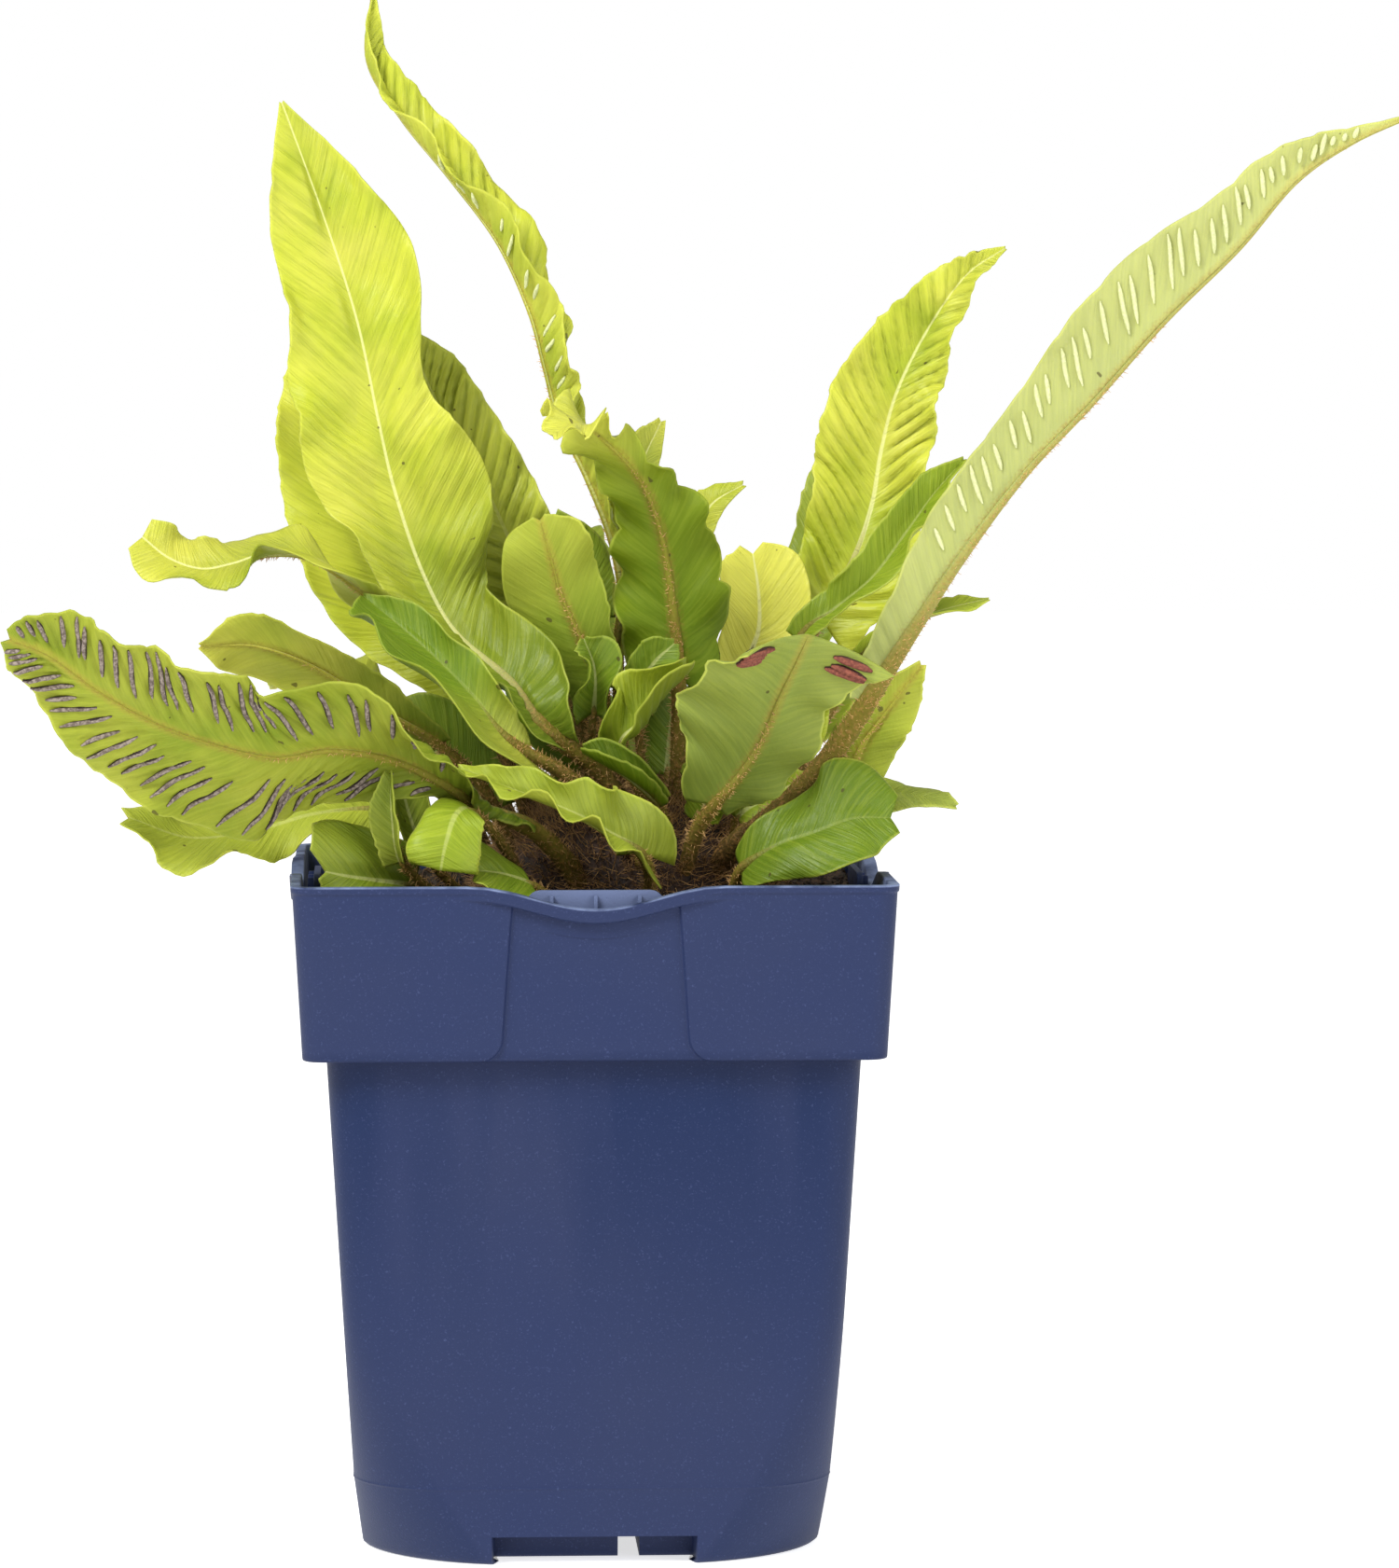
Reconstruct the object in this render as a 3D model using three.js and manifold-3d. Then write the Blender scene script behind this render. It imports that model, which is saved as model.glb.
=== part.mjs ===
// A hart's-tongue fern growing in a square nursery pot.
// Millimetres, +Z up. The origin is the middle of the pot's foot, which stands on z = 0.

import * as THREE from 'three';
import { mergeVertices } from 'three/addons/utils/BufferGeometryUtils.js';
import Module from 'manifold-3d';

const wasm = await Module();
wasm.setup();

// ---------------------------------------------------------------- driving sizes

const CLEARANCE = 0.35; // between pieces that stand in or on each other

const POT = {
  height: 126,
  rimHalf: 55, // half the outer width at the rim
  bandHalf: 53.2, // at the band's lower edge
  bandFoot: 94, // height of the band's lower edge
  bodyHalf: 48.9, // under the band
  lineHalf: 44.2, // at the mould line
  lineHeight: 14.4,
  footHalf: 42.5,
  wall: 1.8,
  floor: 7, // height of the inside of the floor
  bandCorner: 4,
  bodyCorner: 6,
  footCorner: 24,
  crease: 12, // degrees between a flat side and the corner's bow at the foot
  creaseTop: 48, // height where the creases end
};
const RECESS = { top: 15, foot: 17.2, corner: 4, depth: 0.8 }; // half widths, in the middle of the band
const SCOOP = { half: 23, depth: 4.1, lip: 2.7, lipProud: 0.9, steps: 6 };
const TAB = { half: 12.5, thick: 1.2, top: 125, base: 117, corner: 2.5, ribs: [-8, 0, 8] };
const NOTCH = { half: 18.6, height: 5.3, depth: 8 };
const DRAIN = { offset: 6.5, width: 4, holeRadius: 3.2, holeReach: 22 };

const SOIL = { top: 120.2, swell: 1.1, rise: 0.018 };
const CROWN = { x: 8, y: 4, z: 119, halfX: 28, halfY: 24, halfZ: 21, lump: 0.7 };

const BLADE = { thick: 0.8, rib: 0.9, slantTip: 50, slantMid: 72, slantFade: 0.06 };
const SIZES = {
  large: { rows: 16, columns: [-1, -0.56, -0.12, 0, 0.12, 0.56, 1], sides: 5, step: 0.5 },
  broad: { rows: 9, columns: [-1, -0.56, -0.12, 0, 0.12, 0.56, 1], sides: 5, step: 0.5 },
  middle: { rows: 9, columns: [-1, -0.5, 0, 0.5, 1], sides: 5, step: 0.5 },
  back: { rows: 6, columns: [-1, -0.5, 0, 0.5, 1], sides: 4, step: 0.5 },
  small: { rows: 5, columns: [-1, -0.5, 0, 0.5, 1], sides: 4, step: 1 },
};

const GREEN = { fresh: 0x9cbf2c, mid: 0x7ca52a, deep: 0x4f8420, dull: 0x8a9c4c };

// Each frond: its path from root to tip, the index of the point where the blade starts, the directions that
// its upper side faces and the width of each half of the blade in mm, left and right as seen from the upper
// side, both spread evenly along the blade. cup lifts the halves and roll curls them, both in degrees, ear
// sweeps the blade's base back and tip is the slant of its end, in degrees too. wave is the height of the
// margin's waves and waves their number.
const FRONDS = [
  {
    name: 'tall_left', size: 'large', green: 'fresh', stem: 1.9, blade: 3, cup: [24, 12],
    roll: [50, 0, 0, -15], ear: 85, wave: 1.6, waves: 6,
    path: [[7, -5, 117], [8, -8, 131], [3, -11, 143], [-9, -16, 153], [-15, -11, 161], [-25, -5, 170],
      [-31, -2, 181], [-36, 0, 196], [-39, 1, 209], [-43, 2, 228], [-49, 3, 247], [-57, 3, 269]],
    face: [[0.1, -0.75, 0.65], [0.15, -0.7, 0.7], [0.05, -1, 0.1], [0, -1, 0.1], [0.1, -1, 0]],
    left: [7, 9, 10, 12, 18, 18, 15, 11, 0.5],
    right: [8, 11, 12, 20, 18, 12, 17, 11, 0.5],
  },
  {
    name: 'back_left', size: 'middle', green: 'fresh', stem: 1.5, blade: 2, cup: [15], roll: [-20],
    ear: 60, wave: 2, waves: 3,
    path: [[-4, 10, 117], [-13, 15, 148], [-23, 19, 163], [-37, 22, 176], [-45, 24, 192],
      [-49, 25, 209], [-53, 26, 226]],
    face: [[0, -1, 0.3], [0, -1, 0.1]],
    left: [9, 13, 13, 10, 0.5],
    right: [8, 13, 13, 9, 0.5],
  },
  {
    name: 'glossy_left', size: 'middle', green: 'mid', stem: 1.6, blade: 2, cup: [18], roll: [-20],
    ear: 60, wave: 2, waves: 5,
    path: [[4, 6, 117], [0, 10, 148], [-6, 12, 168], [-13, 14, 184], [-20, 16, 199], [-28, 18, 213],
      [-34, 20, 227]],
    face: [[-0.1, -1, 0.2], [-0.2, -1, 0.1]],
    left: [8, 12, 11, 9, 0.5],
    right: [7, 10, 10, 9, 0.5],
  },
  {
    name: 'strap_left', size: 'middle', green: 'fresh', stem: 1.2, blade: 3, cup: [10], ear: 30,
    tip: 80, wave: 2.2, waves: 3,
    path: [[-7, 3, 117], [-14, 3, 143], [-23, 1, 157], [-31, -6, 166], [-41, -14, 177], [-51, -15, 184],
      [-59, -14, 185], [-66, -14, 183], [-72, -14, 182], [-78, -14, 184], [-83, -14, 188]],
    face: [[0, 0.5, 0.85], [0, -0.1, 1], [0.1, -0.6, 0.8], [-0.1, -0.75, 0.65]],
    left: [1, 3, 6, 8, 7, 6, 7, 7, 4],
    right: [2, 5, 9, 10, 10, 7, 7, 7, 4],
  },
  {
    name: 'spoon_left', size: 'middle', green: 'deep', stem: 1.4, blade: 3, cup: [20], roll: [40, 30],
    ear: 85, wave: 1.2, waves: 3,
    path: [[3, -9, 117], [4, -12, 131], [-2, -17, 142], [-15, -21.7, 150.3], [-21, -23.8, 157.8],
      [-27, -22.7, 164.2], [-34, -20, 170.5], [-42, -16.5, 177]],
    face: [[0.15, -0.7, 0.7], [0.15, -0.7, 0.7]],
    left: [11.6, 18, 18, 13, 0.8],
    right: [4.5, 6, 6, 6, 0.8],
  },
  {
    name: 'pale_left', size: 'middle', green: 'dull', stem: 1.2, blade: 2, cup: [14], roll: [-30],
    ear: 30, wave: 0.9, waves: 2,
    path: [[-10, -2, 117], [-18, -6, 138], [-28, -9, 149], [-39, -12, 156], [-51, -15, 164],
      [-62, -17, 168], [-72, -18, 168]],
    face: [[0.1, 0.85, 0.5], [0, 0.85, 0.5]],
    left: [3, 6, 7, 7, 0.8],
    right: [5, 8, 9, 8, 0.8],
  },
  {
    name: 'spored_left', size: 'large', green: 'mid', stem: 2, blade: 2, cup: [10, 5, 0, 0, 8],
    roll: [-110, -110, -60, 0, 0, 0, 0, 0, 10], ear: 10, wave: 1.8, waves: 6,
    path: [[1, -14, 117], [-4, -17, 127], [-11, -20, 134], [-20, -24, 138], [-27, -29, 143],
      [-37, -35, 148], [-48, -41, 150], [-58, -45, 149], [-70, -50, 152], [-80, -53, 156],
      [-90, -56, 162], [-98, -58, 168], [-105, -59, 171]],
    face: [[0.1, 0.6, 0.8], [0.1, 0.85, 0.5], [0.1, 0.9, 0.4], [0.1, 0.9, 0.4]],
    left: [3, 5, 8, 14, 16, 17, 17, 15, 13, 9, 2],
    right: [1.5, 2, 5, 14, 19, 19, 18, 15, 11, 8, 2],
  },
  {
    name: 'wavy_left', size: 'middle', green: 'mid', stem: 1.3, blade: 2, cup: [8], ear: 20, wave: 2.2,
    waves: 3,
    path: [[-13, -8, 117], [-24, -12, 130], [-37, -18, 137], [-50, -21, 137], [-62, -24, 134],
      [-74, -28, 133], [-85, -32, 137]],
    face: [[0, -0.7, 0.7], [0, -0.7, 0.7]],
    left: [4, 7, 8, 9, 3],
    right: [4, 6, 7, 7, 2.5],
  },
  {
    name: 'rim_left', size: 'small', green: 'mid', stem: 1, blade: 2, cup: [10], roll: [-30], ear: 40,
    wave: 0.8, waves: 1,
    path: [[-19, -14, 117], [-26, -21, 121], [-33, -28, 124], [-40, -33.5, 125.5], [-45, -36.5, 126.5],
      [-49, -38.5, 127.5]],
    face: [[0, -0.92, 0.4]],
    left: [5, 7, 6, 2],
    right: [8, 13, 12, 5],
  },
  {
    name: 'folded_left', size: 'small', green: 'dull', stem: 0.9, blade: 2, cup: [45], ear: 0,
    wave: 0.5, waves: 1,
    path: [[-20, -18, 117], [-28, -28, 122], [-35, -34, 129], [-36.5, -35, 136.5], [-37, -34.6, 145]],
    face: [[-0.6, -0.8, 0.1]],
    left: [3.5, 5, 1.5],
    right: [3.5, 5, 1.5],
  },
  {
    name: 'pleated_left', size: 'small', green: 'dull', stem: 0.9, blade: 2, cup: [25], roll: [25],
    ear: 20, wave: 0.8, waves: 1,
    path: [[-16, -13, 117], [-25, -17.5, 123], [-31, -19, 130], [-34, -19.5, 137.5], [-35.5, -19.5, 145]],
    face: [[0.4, -0.85, 0.2]],
    left: [3.5, 7, 2],
    right: [3.5, 6, 2],
  },
  {
    name: 'cut_left', size: 'small', green: 'mid', stem: 1, blade: 2, cup: [12], roll: [-40], ear: 0,
    tip: 95, wave: 0.7, waves: 1,
    path: [[-9, -17, 117], [-16, -26, 131], [-22, -33, 138], [-25, -38, 138], [-27, -42, 133],
      [-28, -43, 128]],
    face: [[0, -0.5, 0.85], [0, -0.9, 0.4], [0, -1, 0.2]],
    left: [5, 6, 7, 7],
    right: [5, 6, 7, 6],
  },
  {
    name: 'rim_front', size: 'small', green: 'deep', stem: 0.9, blade: 2, cup: [8], roll: [-20],
    ear: 20, wave: 0.6, waves: 1,
    path: [[-4, -19, 117], [-7.5, -25.5, 121.5], [-11.5, -29.5, 124.5], [-16.5, -33.5, 126.5],
      [-21.5, -37.5, 127.5]],
    face: [[0.1, -0.6, 0.8]],
    left: [6, 11.5, 4],
    right: [6, 10, 4],
  },
  {
    name: 'cut_front', size: 'middle', green: 'mid', stem: 1.2, blade: 2, cup: [20, 30],
    roll: [0, 50, -20], ear: 85, wave: 2, waves: 4,
    path: [[9, -18, 117], [11, -23, 124], [9, -27, 130], [3, -31, 134], [-4, -34.2, 138],
      [-14, -35.4, 142], [-24.5, -34.9, 146.2]],
    face: [[0.2, -0.75, 0.65], [0.2, -0.7, 0.7]],
    left: [8, 7, 5, 5, 0.8],
    right: [9, 9, 6, 5, 0.8],
  },
  {
    name: 'upright_front', size: 'small', green: 'mid', stem: 0.9, blade: 2, cup: [15], roll: [-30],
    ear: 20, wave: 0.9, waves: 1,
    path: [[7, -13, 117], [9, -16, 124], [9, -18, 129.5], [8, -19, 133.5], [7, -19, 137.5]],
    face: [[0, -1, 0.2]],
    left: [4, 5, 3],
    right: [4, 5, 3],
  },
  {
    name: 'strip_front', size: 'small', green: 'mid', stem: 0.9, blade: 2, cup: [15], roll: [-40],
    ear: 0, wave: 0.6, waves: 1,
    path: [[16, -4, 117], [19, -8, 127], [21, -10, 134], [22, -12, 140], [22, -13, 147]],
    face: [[-0.2, -1, 0.1]],
    left: [4, 6, 3],
    right: [3.5, 5, 3],
  },
  {
    name: 'channelled_front', size: 'small', green: 'deep', stem: 1, blade: 2, cup: [35], roll: [60],
    ear: 0, wave: 0.5, waves: 1,
    path: [[12, -9, 117], [15, -13, 130], [13, -17, 138], [8, -20, 143], [3, -21, 146], [-1, -21, 148]],
    face: [[0.2, -0.6, 0.8]],
    left: [3, 5, 5, 2],
    right: [3, 5, 5, 2],
  },
  {
    name: 'bright_front', size: 'small', green: 'fresh', stem: 1.1, blade: 2, cup: [30], roll: [60],
    ear: 20, wave: 1.6, waves: 1,
    path: [[13, -5, 117], [12, -9, 134], [6, -14, 148], [9, -16, 153], [13, -17, 158], [18, -17, 163]],
    face: [[-0.3, -0.7, 0.6]],
    left: [5, 9, 7, 3],
    right: [4, 8, 8, 4],
  },
  {
    name: 'centre', size: 'large', green: 'deep', stem: 1.6, blade: 2, cup: [10, 14, 20], ear: 70,
    wave: 3, waves: 6,
    path: [[15, 1, 117], [17, -3, 142], [17, -6, 162], [16, -6, 174], [14, -7, 187], [10, -10, 198],
      [3, -16, 206], [-2, -22, 209], [-7, -27, 207]],
    face: [[0, 1, 0], [0, 1, 0.1], [-0.1, 0.8, 0.6], [-0.3, -0.6, 0.8], [-0.3, -0.9, 0.4]],
    left: [7, 11, 10, 5, 5, 6, 1],
    right: [9, 11, 9.5, 8, 9, 7, 1],
  },
  {
    name: 'folded_tall', size: 'large', green: 'fresh', stem: 1.3, blade: 2, cup: [50], ear: 10,
    wave: 1.8, waves: 8,
    path: [[9, 8, 117], [7, 6, 142], [6, 4, 165], [7, 3, 176], [5, 2, 187], [0.5, 1, 198.5],
      [-5, 0, 210], [-7.5, 0, 219], [-10.5, 1, 230], [-16.5, 2, 243], [-25.5, 3, 255], [-34.5, 4, 266],
      [-41, 5, 277], [-40, 5, 290]],
    face: [[0.9, -0.4, 0.1], [0.9, -0.2, 0.1], [1, 0.1, 0.1], [0.8, -0.5, 0.2], [0.7, -0.6, 0.3]],
    left: [2, 3, 4, 5, 6, 7, 7, 7, 6, 5, 4, 0.5],
    right: [2, 3, 4, 5, 6, 8, 10, 9, 8, 7, 5, 0.5],
  },
  {
    name: 'pale_tip', size: 'small', green: 'dull', stem: 1, blade: 2, cup: [15], ear: 20, wave: 0.8,
    waves: 1,
    path: [[17, 12, 117], [16, 15, 150], [13, 18, 176], [10, 19, 190], [11, 21, 200], [15, 24, 209]],
    face: [[0, -1, 0.3]],
    left: [4, 6, 6, 1],
    right: [4, 5, 4, 1],
  },
  {
    name: 'yellow_tip', size: 'small', green: 'fresh', stem: 1, blade: 2, cup: [15], ear: 20, wave: 0.8,
    waves: 1,
    path: [[22, 8, 117], [21, 10, 148], [20, 12, 173], [21, 13, 186], [24, 13, 193], [30, 12, 197]],
    face: [[-0.3, -0.8, 0.5]],
    left: [3, 4, 4, 1],
    right: [3, 4, 3, 1],
  },
  {
    name: 'round_centre', size: 'middle', green: 'dull', stem: 1.2, blade: 2, cup: [8], roll: [-10],
    ear: 50, wave: 1, waves: 2,
    path: [[1, 1, 117], [3, -3, 142], [3, -5, 160], [-1, -6, 168], [-5, -7, 177], [-7, -9, 184],
      [-9, -10, 191]],
    face: [[0, 1, 0.2]],
    left: [3, 8, 9.5, 9, 1.5],
    right: [7, 11, 11, 9, 1.5],
  },
  {
    name: 'inner_left', size: 'small', green: 'deep', stem: 0.9, blade: 1, cup: [15], roll: [-10],
    ear: 30, wave: 0.8, waves: 1,
    path: [[-9, 7, 117], [-18, 8, 135.5], [-24, 8, 142], [-31, 8, 149], [-38, 8, 154]],
    face: [[0.1, -0.9, 0.4]],
    left: [4, 7, 6, 1.5],
    right: [7, 11, 9, 1.5],
  },
  {
    name: 'inner_centre', size: 'small', green: 'deep', stem: 0.9, blade: 2, cup: [15], roll: [-20],
    ear: 50, wave: 0.8, waves: 1,
    path: [[9, 13, 117], [6, 14, 132], [3, 14, 143.5], [0, 14, 151], [-2, 14, 157]],
    face: [[0, -1, 0.2]],
    left: [9, 13, 4],
    right: [6, 8, 1],
  },
  {
    name: 'inner_right', size: 'small', green: 'deep', stem: 0.9, blade: 2, cup: [15], roll: [-20],
    ear: 20, wave: 0.8, waves: 1,
    path: [[15, 5, 117], [15, 5, 130], [15.3, 5, 142.5], [16, 5, 152], [17, 5, 161]],
    face: [[0, -1, 0.2]],
    left: [5, 6, 1],
    right: [5, 6, 1],
  },
  {
    name: 'scalloped_centre', size: 'small', green: 'deep', stem: 0.9, blade: 2, cup: [15], roll: [50],
    ear: 40, wave: 2, waves: 1,
    path: [[-1, -4, 117], [0, -5, 142], [1, -9, 155], [1, -12, 163], [-1, -15, 169]],
    face: [[0.1, -0.9, 0.4]],
    left: [4, 5, 1],
    right: [4, 6, 1],
  },
  {
    name: 'twisted_centre', size: 'small', green: 'deep', stem: 0.9, blade: 2, cup: [20], ear: 20,
    wave: 0.8, waves: 1,
    path: [[4, 2, 117], [2, 3, 150], [1, 4, 172], [-1, 5, 182], [-6, 5, 191]],
    face: [[0.3, -0.9, 0.3]],
    left: [5, 6.5, 2],
    right: [4.6, 6.5, 2],
  },
  {
    name: 'dark_centre', size: 'small', green: 'deep', stem: 0.9, blade: 2, cup: [20], ear: 20,
    wave: 0.6, waves: 1,
    path: [[10, 0, 117], [10, -5, 145], [9, -9, 158], [12, -11, 164], [16, -12, 168]],
    face: [[0, -0.9, 0.3]],
    left: [3, 5, 1],
    right: [3, 5, 1],
  },
  {
    name: 'right_upright', size: 'large', green: 'fresh', stem: 1.5, blade: 2, cup: [14], ear: 50,
    wave: 1.3, waves: 6,
    path: [[25, 12, 117], [35, 14, 146], [45, 15, 172], [51, 15, 182], [55, 17, 193], [57, 18, 204],
      [60, 18, 215], [66, 18, 227], [73, 16, 237], [80, 12, 242]],
    face: [[-0.1, -1, 0.2], [-0.1, -1, 0.1], [-0.2, -1, 0.2]],
    left: [8, 12, 14, 14, 12, 8, 4, 0.5],
    right: [10, 12, 11, 11, 9, 6, 3, 0.5],
  },
  {
    name: 'channelled_right', size: 'middle', green: 'mid', stem: 1.2, blade: 2, cup: [35], ear: 10,
    wave: 1, waves: 3,
    path: [[27, 2, 117], [32, 1, 148], [40, 0, 168], [47, -1, 174], [54, -2, 180], [60, -2, 188],
      [65, -2, 195], [71, -2, 202]],
    face: [[-0.2, -0.8, 0.6]],
    left: [3, 5, 6, 6, 5, 0.8],
    right: [3, 5, 6, 6, 5, 0.8],
  },
  {
    name: 'right_long', size: 'large', green: 'mid', stem: 2.2, blade: 5, cup: [50], ear: 40, wave: 1.2,
    waves: 6,
    path: [[20, -9, 117], [26, -14, 129], [33, -18, 135], [40, -22, 142], [46, -26, 150],
      [51, -29, 158], [59, -32, 171], [68, -34, 185], [79, -37, 200], [91, -40, 213], [104, -44, 228],
      [117, -47, 241], [127, -50, 253], [137, -52, 260], [148, -54, 265]],
    face: [[-0.6, 0.7, 0.4], [-0.6, 0.6, 0.5]],
    left: [3, 5, 8, 9, 9, 10, 10, 8, 4, 0.5],
    right: [3.5, 7, 10, 11, 15, 14.5, 11, 7.5, 3, 0.5],
  },
  {
    name: 'broad_front', size: 'broad', green: 'dull', stem: 1.5, blade: 3, cup: [10, 6, 0],
    roll: [0, -10, -40], ear: 50, tip: 100, wave: 1.3, waves: 4,
    path: [[15, -14, 117], [18, -17, 127], [20, -21, 134], [23, -26, 139], [27, -29, 144],
      [31, -33, 151], [34, -37, 159], [37, -41, 166], [39, -44, 171]],
    face: [[-0.1, 0.9, 0.4], [-0.1, 0.9, 0.5], [-0.1, 0.4, 0.9]],
    left: [4, 9, 11, 10, 14, 19],
    right: [6, 14, 18, 17, 16, 15],
  },
  {
    name: 'patch_right', size: 'small', green: 'fresh', stem: 0.9, blade: 2, cup: [15], ear: 10,
    wave: 0.5, waves: 1,
    path: [[23, 1, 117], [30, -2, 136], [37, -8, 146], [41, -12, 151], [44, -15, 157]],
    face: [[0, -0.9, 0.4]],
    left: [3, 4, 1],
    right: [3, 4, 1],
  },
  {
    name: 'pale_right', size: 'middle', green: 'dull', stem: 1.1, blade: 2, cup: [8], roll: [-20],
    ear: 40, wave: 0.9, waves: 2,
    path: [[29, 3, 117], [38, -3, 134], [48, -9, 143], [52, -11, 150], [57, -13, 157], [62, -15, 164]],
    face: [[0, 1, 0.2]],
    left: [6, 7, 5, 1],
    right: [6, 7, 5, 1],
  },
  {
    name: 'pointed_right', size: 'small', green: 'dull', stem: 1, blade: 2, cup: [10], roll: [-40],
    ear: 20, wave: 1.4, waves: 1,
    path: [[30, -2, 117], [41, -9, 131], [49, -15, 138], [55, -18, 140], [61, -19, 140], [68, -20, 138]],
    face: [[0, -0.7, 0.7]],
    left: [4, 5, 4, 0.8],
    right: [4, 4, 3, 0.8],
  },
  {
    name: 'tip_right', size: 'small', green: 'mid', stem: 1, blade: 2, cup: [10], ear: 10, wave: 0.8,
    waves: 1,
    path: [[31, 8, 117], [42, 7, 145], [52, 6, 164], [61, 5, 171], [68, 4, 173.5], [76, 4, 175.5]],
    face: [[0, -0.3, 0.95]],
    left: [4, 5, 4, 0.8],
    right: [4, 5, 4, 0.8],
  },
  {
    name: 'low_right', size: 'middle', green: 'deep', stem: 1.4, blade: 2, cup: [10, 14, 20],
    roll: [-20], ear: 30, tip: 70, wave: 1.3, waves: 2,
    path: [[26, -15, 117], [27, -21, 122], [28, -27, 127], [34, -31, 131.5], [41, -32.5, 134],
      [48, -32.5, 136.5], [55, -32, 136.5]],
    face: [[-0.1, -0.8, 0.6]],
    left: [4, 8, 12, 12, 5],
    right: [5, 9, 11, 9, 4],
  },
  {
    name: 'bright_right', size: 'small', green: 'fresh', stem: 0.9, blade: 2, cup: [12], ear: 20,
    wave: 0.7, waves: 1,
    path: [[24, -3, 117], [26, -6, 127], [28, -9, 135], [34, -10, 139], [41, -11, 143]],
    face: [[-0.2, -0.8, 0.5]],
    left: [4, 5, 1],
    right: [4, 5, 1],
  },
  {
    name: 'round_right', size: 'small', green: 'fresh', stem: 1.1, blade: 2, cup: [8], roll: [20],
    ear: 50, wave: 0.8, waves: 1,
    path: [[25, 6, 117], [29, 8, 146], [31, 9, 163], [33, 10, 170], [33, 11, 177], [32, 12, 184]],
    face: [[0, -1, 0.1]],
    left: [6, 9, 9, 3],
    right: [6, 11, 10, 3],
  },
  {
    name: 'back_1', size: 'back', green: 'mid', stem: 1.4, blade: 2, cup: [14], roll: [-20], ear: 60,
    wave: 1.5, waves: 3,
    path: [[-6, 16, 117], [-15, 25, 148], [-22, 31, 165], [-32, 38, 190], [-40, 44, 212], [-50, 50, 228]],
    face: [[0.3, -0.8, 0.5]],
    left: [7, 11, 9, 0.8],
    right: [7, 11, 9, 0.8],
  },
  {
    name: 'back_2', size: 'back', green: 'deep', stem: 1.4, blade: 2, cup: [14], roll: [-30], ear: 60,
    wave: 1.5, waves: 3,
    path: [[2, 18, 117], [0, 28, 148], [-1, 36, 165], [-3, 50, 180], [-5, 66, 186], [-6, 82, 180]],
    face: [[0, -0.8, 0.6], [0, -0.3, 1], [0, 0.2, 1]],
    left: [7, 11, 9, 0.8],
    right: [7, 11, 9, 0.8],
  },
  {
    name: 'back_3', size: 'back', green: 'mid', stem: 1.4, blade: 2, cup: [14], roll: [-30], ear: 60,
    wave: 1.5, waves: 3,
    path: [[14, 20, 117], [16, 30, 148], [18, 40, 165], [20, 54, 176], [21, 72, 172]],
    face: [[0, -0.8, 0.6], [0, -0.2, 1], [0, 0.3, 1]],
    left: [7, 10, 0.8],
    right: [7, 10, 0.8],
  },
  {
    name: 'back_4', size: 'back', green: 'deep', stem: 1.4, blade: 2, cup: [14], roll: [-20], ear: 60,
    wave: 1.5, waves: 3,
    path: [[26, 18, 117], [35, 26, 148], [42, 32, 168], [50, 38, 190], [56, 42, 210], [62, 44, 226]],
    face: [[-0.3, -0.8, 0.5]],
    left: [7, 9, 8, 0.8],
    right: [7, 9, 8, 0.8],
  },
  {
    name: 'back_5', size: 'back', green: 'mid', stem: 1.3, blade: 2, cup: [14], roll: [-30], ear: 60,
    wave: 1.5, waves: 3,
    path: [[32, 14, 117], [38, 22, 138], [44, 33, 150], [50, 46, 158], [54, 60, 158], [56, 76, 150]],
    face: [[-0.2, -0.5, 0.8], [0, 0, 1], [0.1, 0.3, 1]],
    left: [6, 9, 8, 0.8],
    right: [6, 9, 8, 0.8],
  },
  {
    name: 'back_6', size: 'back', green: 'fresh', stem: 1.3, blade: 2, cup: [14], roll: [-30], ear: 60,
    wave: 1.5, waves: 3,
    path: [[-14, 12, 117], [-24, 19, 138], [-34, 27, 150], [-46, 38, 160], [-54, 50, 162],
      [-60, 64, 156]],
    face: [[0.2, -0.5, 0.8], [0, 0, 1], [-0.1, 0.3, 1]],
    left: [6, 9, 8, 0.8],
    right: [6, 9, 8, 0.8],
  },
  {
    name: 'back_7', size: 'back', green: 'mid', stem: 1.2, blade: 2, cup: [14], roll: [-40], ear: 60,
    wave: 1.3, waves: 2,
    path: [[7, 22, 117], [7, 34, 134], [7, 46, 144], [7, 62, 147], [8, 80, 138]],
    face: [[0, -0.3, 1], [0, 0.2, 1]],
    left: [6, 8, 0.8],
    right: [6, 8, 0.8],
  },
  {
    name: 'back_8', size: 'back', green: 'mid', stem: 1.2, blade: 2, cup: [14], roll: [-40], ear: 60,
    wave: 1.3, waves: 2,
    path: [[20, 22, 117], [26, 34, 136], [31, 46, 146], [35, 62, 148], [38, 78, 141]],
    face: [[0, -0.3, 1], [0, 0.2, 1]],
    left: [6, 8, 0.8],
    right: [6, 8, 0.8],
  },
  {
    name: 'back_9', size: 'back', green: 'deep', stem: 1.2, blade: 2, cup: [14], roll: [-40], ear: 60,
    wave: 1.3, waves: 2,
    path: [[-8, 20, 117], [-16, 33, 138], [-22, 44, 148], [-28, 58, 151], [-33, 74, 144]],
    face: [[0, -0.3, 1], [0, 0.2, 1]],
    left: [6, 8, 0.8],
    right: [6, 8, 0.8],
  },
];

// ---------------------------------------------------------------- solids and meshes

// A closed body with shared corners, from a list of points and a list of corner triples.
function body(points, triangles) {
  const mesh = new wasm.Mesh({
    numProp: 3,
    vertProperties: new Float32Array(points.flatMap((p) => [p.x, p.y, p.z])),
    triVerts: new Uint32Array(triangles.flat()),
  });
  return new wasm.Manifold(mesh);
}

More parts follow.
